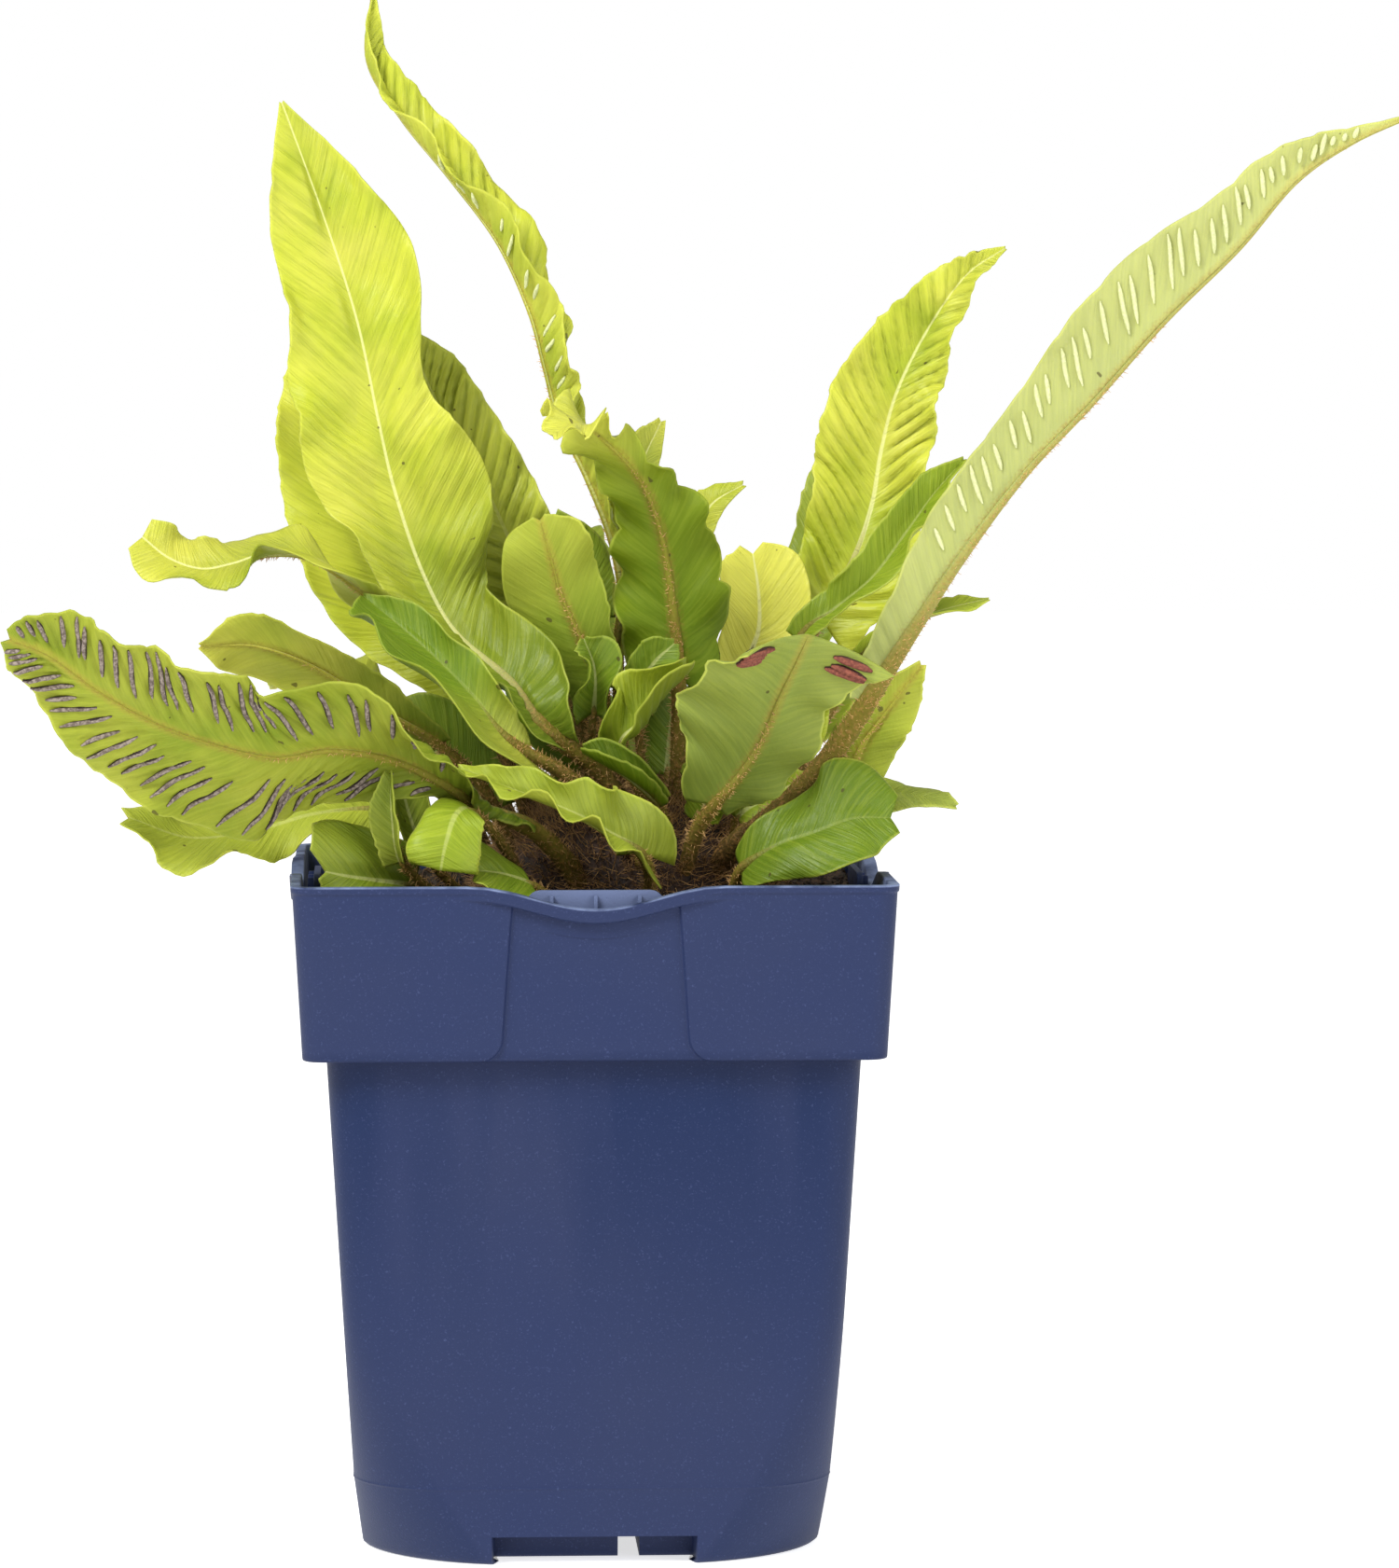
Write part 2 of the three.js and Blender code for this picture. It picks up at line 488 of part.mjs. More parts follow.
function solidOf(geometry) {
  geometry.deleteAttribute('normal');
  geometry.deleteAttribute('uv');
  const merged = mergeVertices(geometry, 1e-4);
  const mesh = new wasm.Mesh({
    numProp: 3,
    vertProperties: new Float32Array(merged.attributes.position.array),
    triVerts: new Uint32Array(merged.index.array),
  });
  return new wasm.Manifold(mesh);
}

function geometryOf(solid) {
  const { vertProperties, triVerts } = solid.getMesh();
  const geometry = new THREE.BufferGeometry();
  geometry.setAttribute('position', new THREE.BufferAttribute(vertProperties, 3));
  geometry.setIndex(new THREE.BufferAttribute(triVerts, 1));
  geometry.computeVertexNormals();
  return geometry;
}

const joined = (first, others) => others.reduce((sum, other) => sum.add(other), first);
const carved = (first, others) => others.reduce((rest, other) => rest.subtract(other), first);

// Rings of equal length, each turning left about the way they follow, skinned and capped.
function loft(rings) {
  const count = rings[0].length;
  const triangles = [];
  for (let ring = 0; ring < rings.length - 1; ring += 1) {
    for (let i = 0; i < count; i += 1) {
      const a = ring * count + i;
      const b = ring * count + ((i + 1) % count);
      triangles.push([a, b, b + count], [a, b + count, a + count]);
    }
  }
  const last = (rings.length - 1) * count;
  for (let i = 1; i < count - 1; i += 1) {
    triangles.push([0, i + 1, i], [last, last + i, last + i + 1]);
  }
  return body(rings.flat(), triangles);
}

function block(width, depth, height, x, y, z) {
  return new THREE.BoxGeometry(width, depth, height).translate(x, y, z);
}

// ---------------------------------------------------------------- fronds

const vector = ([x, y, z]) => new THREE.Vector3(x, y, z);

// The value at t, from 0 to 1, of a list of numbers that are spread evenly, on a smooth curve.
function smooth(list, t) {
  if (list.length === 1) {
    return list[0];
  }
  const place = Math.min(Math.max(t, 0), 1) * (list.length - 1);
  const i = Math.min(Math.floor(place), list.length - 2);
  const f = place - i;
  const before = i > 0 ? list[i - 1] : 2 * list[0] - list[1];
  const after = i + 2 < list.length ? list[i + 2] : 2 * list[i + 1] - list[i];
  const slopeIn = (list[i + 1] - before) / 2;
  const slopeOut = (after - list[i]) / 2;
  const rise = list[i + 1] - list[i];
  const square = 3 * rise - 2 * slopeIn - slopeOut;
  const cube = slopeIn + slopeOut - 2 * rise;
  return list[i] + f * (slopeIn + f * (square + f * cube));
}

const degrees = (angle) => (angle * Math.PI) / 180;

function smoothPoint(list, t) {
  return vector([0, 1, 2].map((axis) => smooth(list.map((point) => point[axis]), t)));
}

// The rib's point, its direction, the way the upper side faces, and the right-hand side, at a place on the
// path from 0, the root, to 1, the tip.
function frameAt(frond, place) {
  const step = 0.002;
  const ahead = Math.min(place + step, 1);
  const behind = Math.max(place - step, 0);
  const start = frond.blade / (frond.path.length - 1);
  const along = smoothPoint(frond.path, ahead).sub(smoothPoint(frond.path, behind)).normalize();
  const up = smoothPoint(frond.face, (place - start) / (1 - start));
  up.addScaledVector(along, -up.dot(along)).normalize();
  return { point: smoothPoint(frond.path, place), along, up, side: along.clone().cross(up) };
}

// A point of the blade's middle surface: t runs from its base to its tip, s from -1 to 1 across it. Each
// half rises from the rib by the angle cup and curls on by the angle roll up to its margin.
function bladePoint(frond, order, t, s) {
  const start = frond.blade / (frond.path.length - 1);
  const { point, along, up, side } = frameAt(frond, start + t * (1 - start));
  const turn = s < 0 ? -1 : 1;
  const width = Math.max(smooth(s < 0 ? frond.left : frond.right, t), 0.5);
  const sweep = BLADE.slantMid - (BLADE.slantMid - (frond.tip ?? BLADE.slantTip)) * t;
  const slant = degrees(sweep + frond.ear * Math.exp(-t / BLADE.slantFade));
  const cup = degrees(smooth(frond.cup, t));
  const curl = degrees(smooth(frond.roll ?? [0], t));
  const roll = Math.abs(curl) < 0.001 ? 0.001 : curl;
  const angle = cup + roll * Math.abs(s);
  const arc = (width * Math.sin(slant)) / roll;
  const fade = Math.min(1, 0.3 + 6 * t, 0.1 + 5 * (1 - t));
  const phase = 2 * Math.PI * frond.waves * t + order * 2.4 + turn * 0.8;
  const normal = side.clone().multiplyScalar(-turn * Math.sin(angle)).addScaledVector(up, Math.cos(angle));
  point.addScaledVector(along, Math.abs(s) * width * Math.cos(slant));
  point.addScaledVector(side, turn * arc * (Math.sin(angle) - Math.sin(cup)));
  point.addScaledVector(up, arc * (Math.cos(cup) - Math.cos(angle)));
  return point.addScaledVector(normal, frond.wave * s * s * Math.sin(phase) * fade);
}

// The blade: a sheet of even thickness whose rib stands out below, split alike on both faces.
function bladeSolid(frond, order) {
  const { rows, columns } = SIZES[frond.size];
  const wide = columns.length;
  const middle = [];
  for (let row = 0; row <= rows; row += 1) {
    const t = (row / rows) ** 1.25;
    middle.push(columns.map((s) => bladePoint(frond, order, t, s)));
  }
  const at = (row, column) => {
    const nearest = middle[Math.min(Math.max(row, 0), rows)];
    return nearest[Math.min(Math.max(column, 0), wide - 1)].clone();
  };
  const upper = [];
  const lower = [];
  for (let row = 0; row <= rows; row += 1) {
    for (let column = 0; column < wide; column += 1) {
      const across = at(row, column + 1).sub(at(row, column - 1));
      const down = at(row + 1, column).sub(at(row - 1, column));
      const normal = across.cross(down).normalize();
      const rib = columns[column] === 0 ? BLADE.rib * (1 - row / rows) : 0;
      upper.push(at(row, column).addScaledVector(normal, BLADE.thick / 2));
      lower.push(at(row, column).addScaledVector(normal, -BLADE.thick / 2 - rib));
    }
  }
  const under = upper.length;
  const triangles = [];
  for (let row = 0; row < rows; row += 1) {
    for (let column = 0; column < wide - 1; column += 1) {
      const a = row * wide + column;
      const [b, c, d] = [a + 1, a + wide + 1, a + wide];
      triangles.push([a, b, c], [a, c, d]);
      triangles.push([under + a, under + c, under + b], [under + a, under + d, under + c]);
    }
  }
  const border = borderOf(rows, wide);
  border.forEach((a, i) => {
    const b = border[(i + 1) % border.length];
    triangles.push([under + a, under + b, b], [under + a, b, a]);
  });
  return body([...upper, ...lower], triangles);
}

// The corners round a grid of points, turning left as seen from its upper side.
function borderOf(rows, wide) {
  const border = [];
  for (let column = 0; column < wide - 1; column += 1) {
    border.push(column);
  }
  for (let row = 0; row < rows; row += 1) {
    border.push(row * wide + wide - 1);
  }
  for (let column = wide - 1; column > 0; column -= 1) {
    border.push(rows * wide + column);
  }
  for (let row = rows; row > 0; row -= 1) {
    border.push(row * wide);
  }
  return border;
}

// The stalk, from the root into the first part of the blade, where it runs out to a point; grown by a gap
// on all sides it is the hole that it stands in.
function stalkSolid(frond, gap) {
  const { sides, step } = SIZES[frond.size];
  const last = frond.path.length - 1;
  const runOut = 0.4;
  const stations = [];
  for (let place = 0; place < frond.blade; place += step) {
    stations.push({ place, radius: frond.stem });
  }
  stations.push({ place: frond.blade, radius: frond.stem * 0.85 });
  stations.push({ place: frond.blade + runOut, radius: 0.5 });
  const rings = stations.map(({ place, radius }) => {
    const { point, along, up, side } = frameAt(frond, place / last);
    const centre = place === 0 ? point.addScaledVector(along, -gap) : point;
    const ring = [];
    for (let i = 0; i < sides; i += 1) {
      const angle = (2 * Math.PI * (i + 0.25)) / sides;
      const spoke = up.clone().multiplyScalar(Math.cos(angle)).addScaledVector(side, Math.sin(angle));
      ring.push(centre.clone().addScaledVector(spoke, radius + gap));
    }
    return ring;
  });
  return loft(rings);
}

const frondSolid = (frond, order) => bladeSolid(frond, order).add(stalkSolid(frond, 0));

// ---------------------------------------------------------------- pot

// A square of given half width with bowed corners, level, turning left seen from above. A corner starts at
// its size from the square's own, with a crease of an angle in radians between the flat side and the bow.
function squareRing(half, corner, z, crease = 0, steps = 3) {
  const radius = corner / (Math.cos(crease) - Math.sin(crease));
  const middle = half - radius * Math.cos(crease);
  const ring = [];
  for (let quarter = 0; quarter < 4; quarter += 1) {
    for (let i = 0; i <= steps; i += 1) {
      const angle = crease + (Math.PI / 2 - 2 * crease) * (i / steps);
      const point = vector([middle + radius * Math.cos(angle), middle + radius * Math.sin(angle), z]);
      ring.push(point.applyAxisAngle(vector([0, 0, 1]), (quarter * Math.PI) / 2));
    }
  }
  return ring;
}

// Half width, corner size and crease of the body at a height, between its foot, its mould line and the band.
// Near the foot the corners grow and a crease parts them from the flat sides.
function bodyAt(z) {
  const { footHalf, lineHalf, lineHeight, bodyHalf, bandFoot } = POT;
  const { footCorner, bodyCorner, crease, creaseTop } = POT;
  const low = footHalf + ((lineHalf - footHalf) * z) / lineHeight;
  const high = lineHalf + ((bodyHalf - lineHalf) * (z - lineHeight)) / (bandFoot - lineHeight);
  const share = Math.max(1 - z / creaseTop, 0) ** 1.6;
  const corner = bodyCorner + (footCorner - bodyCorner) * share;
  return { half: z < lineHeight ? low : high, corner, crease: degrees(crease) * share };
}

function bodyRing(z, inset = 0) {
  const { half, corner, crease } = bodyAt(z);
  return squareRing(half - inset, corner - inset, z, crease);
}

function bandRing(z, inset = 0) {
  const { rimHalf, bandHalf, bandFoot, height, bandCorner } = POT;
  const half = bandHalf + ((rimHalf - bandHalf) * (z - bandFoot)) / (height - bandFoot);
  return squareRing(half - inset, bandCorner - inset / 2, z);
}

// The shallow recess between the two raised panels of one side, flaring round their lower corners.
function recessOutline() {
  const { top, foot, corner } = RECESS;
  const { bandFoot, height } = POT;
  const right = [[foot + corner, bandFoot - 1]];
  for (let i = 0; i <= 3; i += 1) {
    const angle = Math.PI * (1.5 - i / 6);
    right.push([foot + corner + corner * Math.cos(angle), bandFoot + corner + corner * Math.sin(angle)]);
  }
  right.push([top, height + 1]);
  const left = right.map(([x, z]) => [-x, z]).reverse();
  return [...right, ...left];
}

// The scoop of the rim: a shallow bow below the rim's top edge.
function scoopOutline(lower, rise) {
  const { half, depth, steps } = SCOOP;
  const outline = [];
  for (let i = 0; i <= steps; i += 1) {
    const x = -half + (2 * half * i) / steps;
    const drop = depth * 0.5 * (1 + Math.cos((Math.PI * x) / half));
    outline.push([x, POT.height - lower - drop]);
  }
  outline.push([half, POT.height + rise], [-half, POT.height + rise]);
  return outline;
}

function lipOutline() {
  const { lip, steps } = SCOOP;
  const edge = scoopOutline(0, 0).slice(1, steps);
  return [...edge.map(([x, z]) => [x, z - lip]), ...edge.reverse()];
}

function tabOutline() {
  const { half, base, top, corner } = TAB;
  return [[-half, base], [half, base], [half, top - corner], [half - corner, top], [corner - half, top],
    [-half, top - corner]];
}

// A flat outline of widths and heights stood up on the front side: its back at the depth y, its top leaning
// out by an angle about the level line at the height of the band's foot.
function standing(outline, thick, y, lean = 0) {
  const shape = new THREE.Shape(outline.map(([x, z]) => new THREE.Vector2(x, z - POT.bandFoot)));
  const geometry = new THREE.ExtrudeGeometry(shape, { depth: thick, bevelEnabled: false });
  return geometry.rotateX(Math.PI / 2 + lean).translate(0, y, POT.bandFoot);
}

// Four solids, one on each side of the pot, from the geometry of the front one.
function onEachSide(geometry) {
  return [0, 1, 2, 3].map((quarter) => solidOf(geometry.clone().rotateZ((quarter * Math.PI) / 2)));
}

function potSolid() {
  const { wall, floor, height, bandFoot, lineHeight, rimHalf, creaseTop } = POT;
  const shell = loft([
    bodyRing(0, 1.2), bodyRing(1), bodyRing(lineHeight), bodyRing(creaseTop / 2), bodyRing(creaseTop),
    bodyRing(bandFoot), bandRing(bandFoot), bandRing(height - 0.8), bandRing(height, 0.6),
    bandRing(height, wall), bandRing(bandFoot + 1.5, wall), bodyRing(bandFoot - 1, wall),
    bodyRing(creaseTop, wall), bodyRing(creaseTop / 2, wall), bodyRing(lineHeight, wall),
    bodyRing(floor, wall + 2),
  ]);
  const lean = Math.atan2(rimHalf - POT.bandHalf, height - bandFoot);
  const recess = standing(recessOutline(), 3, RECESS.depth - POT.bandHalf, lean);
  const lip = standing(lipOutline(), SCOOP.lipProud + 1.2, 1.2 - rimHalf);
  const tab = standing(tabOutline(), TAB.thick, 4.2 + TAB.thick - rimHalf);
  const tabRoot = block(2 * TAB.half, 4, 1.6, 0, 3 - rimHalf, TAB.base + 0.8);
  const ribs = TAB.ribs.map((x) => block(0.8, 0.8, 7, x, 3.9 - rimHalf, TAB.base + 4));
  const scoop = standing(scoopOutline(0, 3), 3.2, 2.6 - rimHalf);
  const added = [lip, tab, tabRoot, ...ribs].flatMap(onEachSide);
  const hollowed = carved(shell, onEachSide(recess));
  return carved(joined(hollowed, added), [...onEachSide(scoop), ...footCuts()]);
}

// What is open in the foot: a notch in each side, channels between them, and the drain holes.
function footCuts() {
  const { half, height, depth } = NOTCH;
  const outline = [[-half - 0.8, -1], [half + 0.8, -1], [half, height], [-half, height]];
  const notch = standing(outline, depth + 2, depth - POT.footHalf);
  const { offset, width, holeRadius, holeReach } = DRAIN;
  const channel = block(width, 2 * POT.footHalf, height + 1, offset, 0, (height - 1) / 2);
  const across = block(2 * POT.footHalf, width, height + 1, 0, -offset - width, (height - 1) / 2);
  const holes = [[offset, holeReach], [offset, -holeReach], [holeReach, -offset - width],
    [-holeReach, -offset - width]].map(([x, y]) => {
    const hole = new THREE.CylinderGeometry(holeRadius, holeRadius, 10, 8).rotateX(Math.PI / 2);
    return hole.translate(x, y, 5);
  });
  return [...onEachSide(notch), ...[channel, across, ...holes].map(solidOf)];
}

// ---------------------------------------------------------------- soil and crown

// A gentle, uneven rise and fall over the soil, the same each time.
function lumps(x, y) {
  return Math.sin(x * 0.21 + 1.3) * Math.cos(y * 0.17 - 0.6) + 0.6 * Math.sin(x * 0.47 - y * 0.39);
}

function soilSolid(stalks, crownHole) {
  const { wall, floor, lineHeight, bandFoot, creaseTop } = POT;
  const inset = wall + CLEARANCE;
  const top = bandRing(SOIL.top, inset);
  const spread = [1, 0.78, 0.45].map((share) => top.map((edge) => {
    const x = edge.x * share;
    const y = edge.y * share;
    const rough = share === 1 ? 0 : SOIL.swell * lumps(x, y) + SOIL.rise * (x + y);
    return vector([x, y, SOIL.top + rough]);
  }));
  const rings = [
    bodyRing(floor + CLEARANCE, inset + 2), bodyRing(lineHeight, inset), bodyRing(creaseTop / 2, inset),
    bodyRing(creaseTop, inset), bodyRing(bandFoot - 0.5, inset), bandRing(bandFoot + 2.2, inset), ...spread,
  ];
  const seatHeight = 2 * (SOIL.top - TAB.base + CLEARANCE);
  const tabSeat = block(2 * TAB.half + 1, 8, seatHeight, 0, 2 - POT.rimHalf, SOIL.top);
  return carved(loft(rings), [...onEachSide(tabSeat), crownHole, ...stalks]);
}

// The crown: a low lumpy dome; grown by a gap on all sides it is the bed that it lies in.
function crownBody(gap) {
  const { x, y, z, halfX, halfY, halfZ, lump } = CROWN;
  const geometry = new THREE.SphereGeometry(1, 12, 6).rotateX(Math.PI / 2);
  const { position } = geometry.attributes;
  for (let i = 0; i < position.count; i += 1) {
    const [px, py, pz] = [position.getX(i), position.getY(i), position.getZ(i)];
    const bump = gap + lump * Math.sin(5 * Math.atan2(py, px) + 3 * pz) * (1 - pz * pz);
    position.setXYZ(i, x + px * (halfX + bump), y + py * (halfY + bump), z + pz * (halfZ + gap));
  }
  return solidOf(geometry);
}

// ---------------------------------------------------------------- the object

function material(color, roughness) {
  return new THREE.MeshStandardMaterial({ color, roughness, metalness: 0 });
}

function piece(name, solid, look) {
  const mesh = new THREE.Mesh(geometryOf(solid), look);
  mesh.name = name;
  return mesh;
}

const holes = FRONDS.map((frond) => stalkSolid(frond, CLEARANCE));
const fern = new THREE.Group();
fern.add(piece('pot', potSolid(), material(0x3e486c, 0.45)));
fern.add(piece('soil', soilSolid(holes, crownBody(CLEARANCE)), material(0x2b211b, 0.95)));
fern.add(piece('crown', carved(crownBody(0), holes), material(0x4a2f1e, 0.9)));
FRONDS.forEach((frond, order) => {
  const look = material(GREEN[frond.green], 0.5);
  fern.add(piece(`frond_${frond.name}`, frondSolid(frond, order), look));
});

export default fern;
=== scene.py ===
import math

import bmesh
import bpy
import numpy as np
from bpy.props import FloatProperty, FloatVectorProperty, IntProperty, PointerProperty
from mathutils import Matrix, Vector


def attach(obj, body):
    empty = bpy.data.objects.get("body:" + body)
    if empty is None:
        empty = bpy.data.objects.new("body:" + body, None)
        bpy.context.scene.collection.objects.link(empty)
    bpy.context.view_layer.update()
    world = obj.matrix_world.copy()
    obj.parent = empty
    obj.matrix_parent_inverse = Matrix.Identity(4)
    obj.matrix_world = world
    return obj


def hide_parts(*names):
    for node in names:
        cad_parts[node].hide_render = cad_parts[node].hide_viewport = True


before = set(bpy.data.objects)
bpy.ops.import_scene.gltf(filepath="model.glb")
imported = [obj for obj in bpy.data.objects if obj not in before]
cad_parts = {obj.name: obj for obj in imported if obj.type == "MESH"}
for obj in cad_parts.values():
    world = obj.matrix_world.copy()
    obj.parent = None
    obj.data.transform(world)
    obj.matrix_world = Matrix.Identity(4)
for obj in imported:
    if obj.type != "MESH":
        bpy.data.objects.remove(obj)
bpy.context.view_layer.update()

# A hart's-tongue fern in a square nursery pot. The shapes are worked out in millimetres, and new_mesh()
# turns them into metres.

bl_info = {
    "name": "Hart's-tongue fern",
    "version": (1, 0, 0),
    "blender": (4, 5, 0),
    "location": "3D View > Sidebar > Fern",
    "description": "Builds a potted hart's-tongue fern round its packed solids",
    "category": "Object",
}

MM = 0.001


def rgb(code):
    """Linear red, green and blue of a six-digit hex colour."""
    parts = [int(code[i:i + 2], 16) / 255 for i in (0, 2, 4)]
    return tuple(c / 12.92 if c <= 0.04045 else ((c + 0.055) / 1.055) ** 2.4 for c in parts)


def colour_of(name, description, code):
    return FloatVectorProperty(name=name, description=description, subtype="COLOR", size=3, min=0, max=1,
                               default=rgb(code))


def number_of(name, description, value, **more):
    return FloatProperty(name=name, description=description, min=0, default=value, **more)


def size_of(name, description, millimetres):
    return number_of(name, description, millimetres * MM, subtype="DISTANCE", unit="LENGTH", precision=5)


# ---------------------------------------------------------------- what a user would change


class FERN_PG_leaves(bpy.types.PropertyGroup):
    thick: size_of("Blade thickness", "Thickness of a blade between its veins", 0.5)
    step: size_of("Grid step", "Length of a mesh face along a blade", 0.9)
    vein_pitch: size_of("Vein pitch", "Distance between the fine veins", 0.55)
    pleat_pitch: size_of("Pleat pitch", "Distance between the broad ridges of a blade", 3.4)
    margin: size_of("Margin width", "Width of the pale line round a blade", 0.4)
    rib: colour_of("Rib", "Colour of the rib on the upper side", "e3e39a")
    edge: colour_of("Margin", "Colour of the blade's thin margin", "d4d860")
    stalk: colour_of("Stalk", "Colour of a stalk where its scales are few", "6e6420")
    bark: colour_of("Stalk foot", "Colour of a stalk at its foot", "3c2412")


class FERN_PG_scales(bpy.types.PropertyGroup):
    count: number_of("Scales per mm", "Hair-like scales on each mm of a stalk", 11)
    length: size_of("Scale length", "Length of the longest scales", 2.4)
    girth: size_of("Scale radius", "Radius of a scale at its root", 0.1)
    seed: IntProperty(name="Seed", description="Seed of the scales' places", default=11)
    dark: colour_of("Scale", "Colour of the scales at a stalk's foot", "44261a")
    gold: colour_of("Scale tip", "Colour of the scales higher up", "cda264")


class FERN_PG_pot(bpy.types.PropertyGroup):
    wall: size_of("Wall", "Thickness of the pot's wall", 1.8)
    recess: size_of("Recess", "Depth of the recess between two panels", 0.8)
    line: size_of("Mould line", "Height of the mould line's ridge", 0.12)
    blue: colour_of("Plastic", "Colour of the pot", "1c284c")
    # The deep blue of the painted shade up the body, just under the band and on the corners' bows.
    flow: colour_of("Painted shade", "Colour of the soft upright streaks", "061c42")
    # Paler blue of the rubbed edges, also laid on the tabs as painted light.
    worn_and_lit: colour_of("Worn edge and painted light", "Colour of the rubbed edges", "6f7c9e")
    speck: colour_of("Speck", "Colour of the fine specks", "56618c")


class FERN_PG_soil(bpy.types.PropertyGroup):
    crumbs: number_of("Crumbs per square cm", "Soil crumbs on each square cm", 26)
    crumb: size_of("Crumb radius", "Radius of the largest crumbs", 1.3)
    seed: IntProperty(name="Seed", description="Seed of the crumbs' places", default=5)
    dark: colour_of("Soil", "Colour of the moist soil", "1d130d")
    light: colour_of("Fibre", "Colour of bark and fibre in the soil", "5d4431")
    grit: colour_of("Grit", "Colour of the pale grains", "b9ae98")


class FERN_PG_stage(bpy.types.PropertyGroup):
    floor: size_of("Floor", "Side of the square floor", 9000)
    key: number_of("Key light", "Power of the key light in watts", 40, unit="POWER")
    fill: number_of("Fill light", "Power of the fill light in watts", 15, unit="POWER")
    sky: number_of("Surround", "Strength of the light from all round", 0.4)
    glow: number_of("Floor glow", "Light of the floor's own", 0.68)
    pale: colour_of("Floor colour", "Colour of the floor", "f2f2f2")


SETTINGS = {"leaves": FERN_PG_leaves, "scales": FERN_PG_scales, "pot": FERN_PG_pot, "soil": FERN_PG_soil,
            "stage": FERN_PG_stage}


# ---------------------------------------------------------------- numbers and meshes


def smooth(values, t):
    """The value at t, from 0 to 1, of evenly spread numbers or points, on a smooth curve."""
    values = np.asarray(values, float)
    t = np.clip(np.asarray(t, float), 0, 1)
    if len(values) == 1:
        return np.broadcast_to(values[0], t.shape + values.shape[1:])
    ends = np.concatenate([[2 * values[0] - values[1]], values, [2 * values[-1] - values[-2]]])
    place = t * (len(values) - 1)
    i = np.minimum(place.astype(int), len(values) - 2)
    f = (place - i).reshape(t.shape + (1,) * (values.ndim - 1))
    before, here, there, after = (ends[i + k] for k in range(4))
    slope_in = (there - before) / 2
    slope_out = (after - here) / 2
    rise = there - here
    curve = f ** 2 * (3 * rise - 2 * slope_in - slope_out) + f ** 3 * (slope_in + slope_out - 2 * rise)
    return here + f * slope_in + curve


def length_of(path, start, end, steps):
    """Length of the smooth curve through a path's points, between two places on it."""
    points = smooth(path, np.linspace(start, end, steps))
    return np.linalg.norm(np.diff(points, axis=0), axis=1).sum()


def unit(vectors):
    return vectors / np.maximum(np.linalg.norm(vectors, axis=-1, keepdims=True), 1e-9)


def ease(x):
    """From 0 at x = 0 to 1 at x = 1, level at both ends."""
    x = np.clip(x, 0, 1)
    return x * x * (3 - 2 * x)


def grid_faces(rows, columns, closed=False):
    """Quads of a grid of points, turning left as seen from where columns run left to right and rows up."""
    spans = columns if closed else columns - 1
    row, column = np.meshgrid(np.arange(rows - 1), np.arange(spans), indexing="ij")
    a = row * columns + column
    b = row * columns + (column + 1) % columns
    return np.stack([a, b, b + columns, a + columns], -1).reshape(-1, 4)


def closed_grid(grid, first, last):
    """Points and faces of a grid of rings, closed with a middle point at its first and its last ring."""
    rows, columns, _ = grid.shape
    faces = [tuple(face) for face in grid_faces(rows, columns, closed=True)]
    top = (rows - 1) * columns
    for a in range(columns):
        b = (a + 1) % columns
        faces.append((b, a, rows * columns))
        faces.append((top + a, top + b, rows * columns + 1))
    return np.concatenate([grid.reshape(-1, 3), [first, last]]), faces


def new_object(name, data):
    thing = bpy.data.objects.new(name, data)
    bpy.context.scene.collection.objects.link(thing)
    return thing


def new_mesh(name, points, edges, faces, attributes):
    """A mesh of points in millimetres, with numbers or vectors that its paint or its node tree reads."""
    mesh = bpy.data.meshes.new(name)
    mesh.from_pydata((np.asarray(points) * MM).tolist(), edges, faces)
    for key, values in attributes.items():
        values = np.asarray(values, np.float32)
        kind, field = ("FLOAT", "value") if values.ndim == 1 else ("FLOAT_VECTOR", "vector")
        mesh.attributes.new(key, kind, "POINT").data.foreach_set(field, values.ravel())
    return mesh


def mesh_piece(name, points, faces, paint, **attributes):
    """A smooth Blender object of a mesh given in millimetres."""
    mesh = new_mesh(name, points, [], [list(map(int, face)) for face in faces], attributes)
    mesh.materials.append(paint)
    mesh.shade_smooth()
    mesh.update()
    return new_object(name, mesh)


def settle(thing, slot, *nodes):
    """A finished piece joins the object's one body, in place of the solids named. slot is not used."""
    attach(thing, "root")
    if nodes:
        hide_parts(*nodes)


# ---------------------------------------------------------------- node trees


class Socket:
    """A shader socket. Arithmetic on it adds Math nodes."""

    def __init__(self, paint, socket):
        self.paint = paint
        self.socket = socket

    def math(self, operation, *values):
        return self.paint.node("Math", {"operation": operation}, dict(enumerate(values)))

    def __add__(self, other):
        return self.math("ADD", self, other)

    def __sub__(self, other):
        return self.math("SUBTRACT", self, other)

    def __rsub__(self, other):
        return self.math("SUBTRACT", other, self)

    def __mul__(self, other):
        return self.math("MULTIPLY", self, other)

    __radd__ = __add__

    def root(self):
        return self.math("SQRT", self)

    def size(self):
        return self.math("ABSOLUTE", self)

    def within(self, low, high):
        """0 where the value is low, 1 where it is high, and held between them."""
        return self.paint.node("MapRange", {}, {0: self, 1: low, 2: high})

    def parts(self):
        split = self.paint.node("SeparateXYZ", {}, {0: self}).socket.node
        return [Socket(self.paint, output) for output in split.outputs]


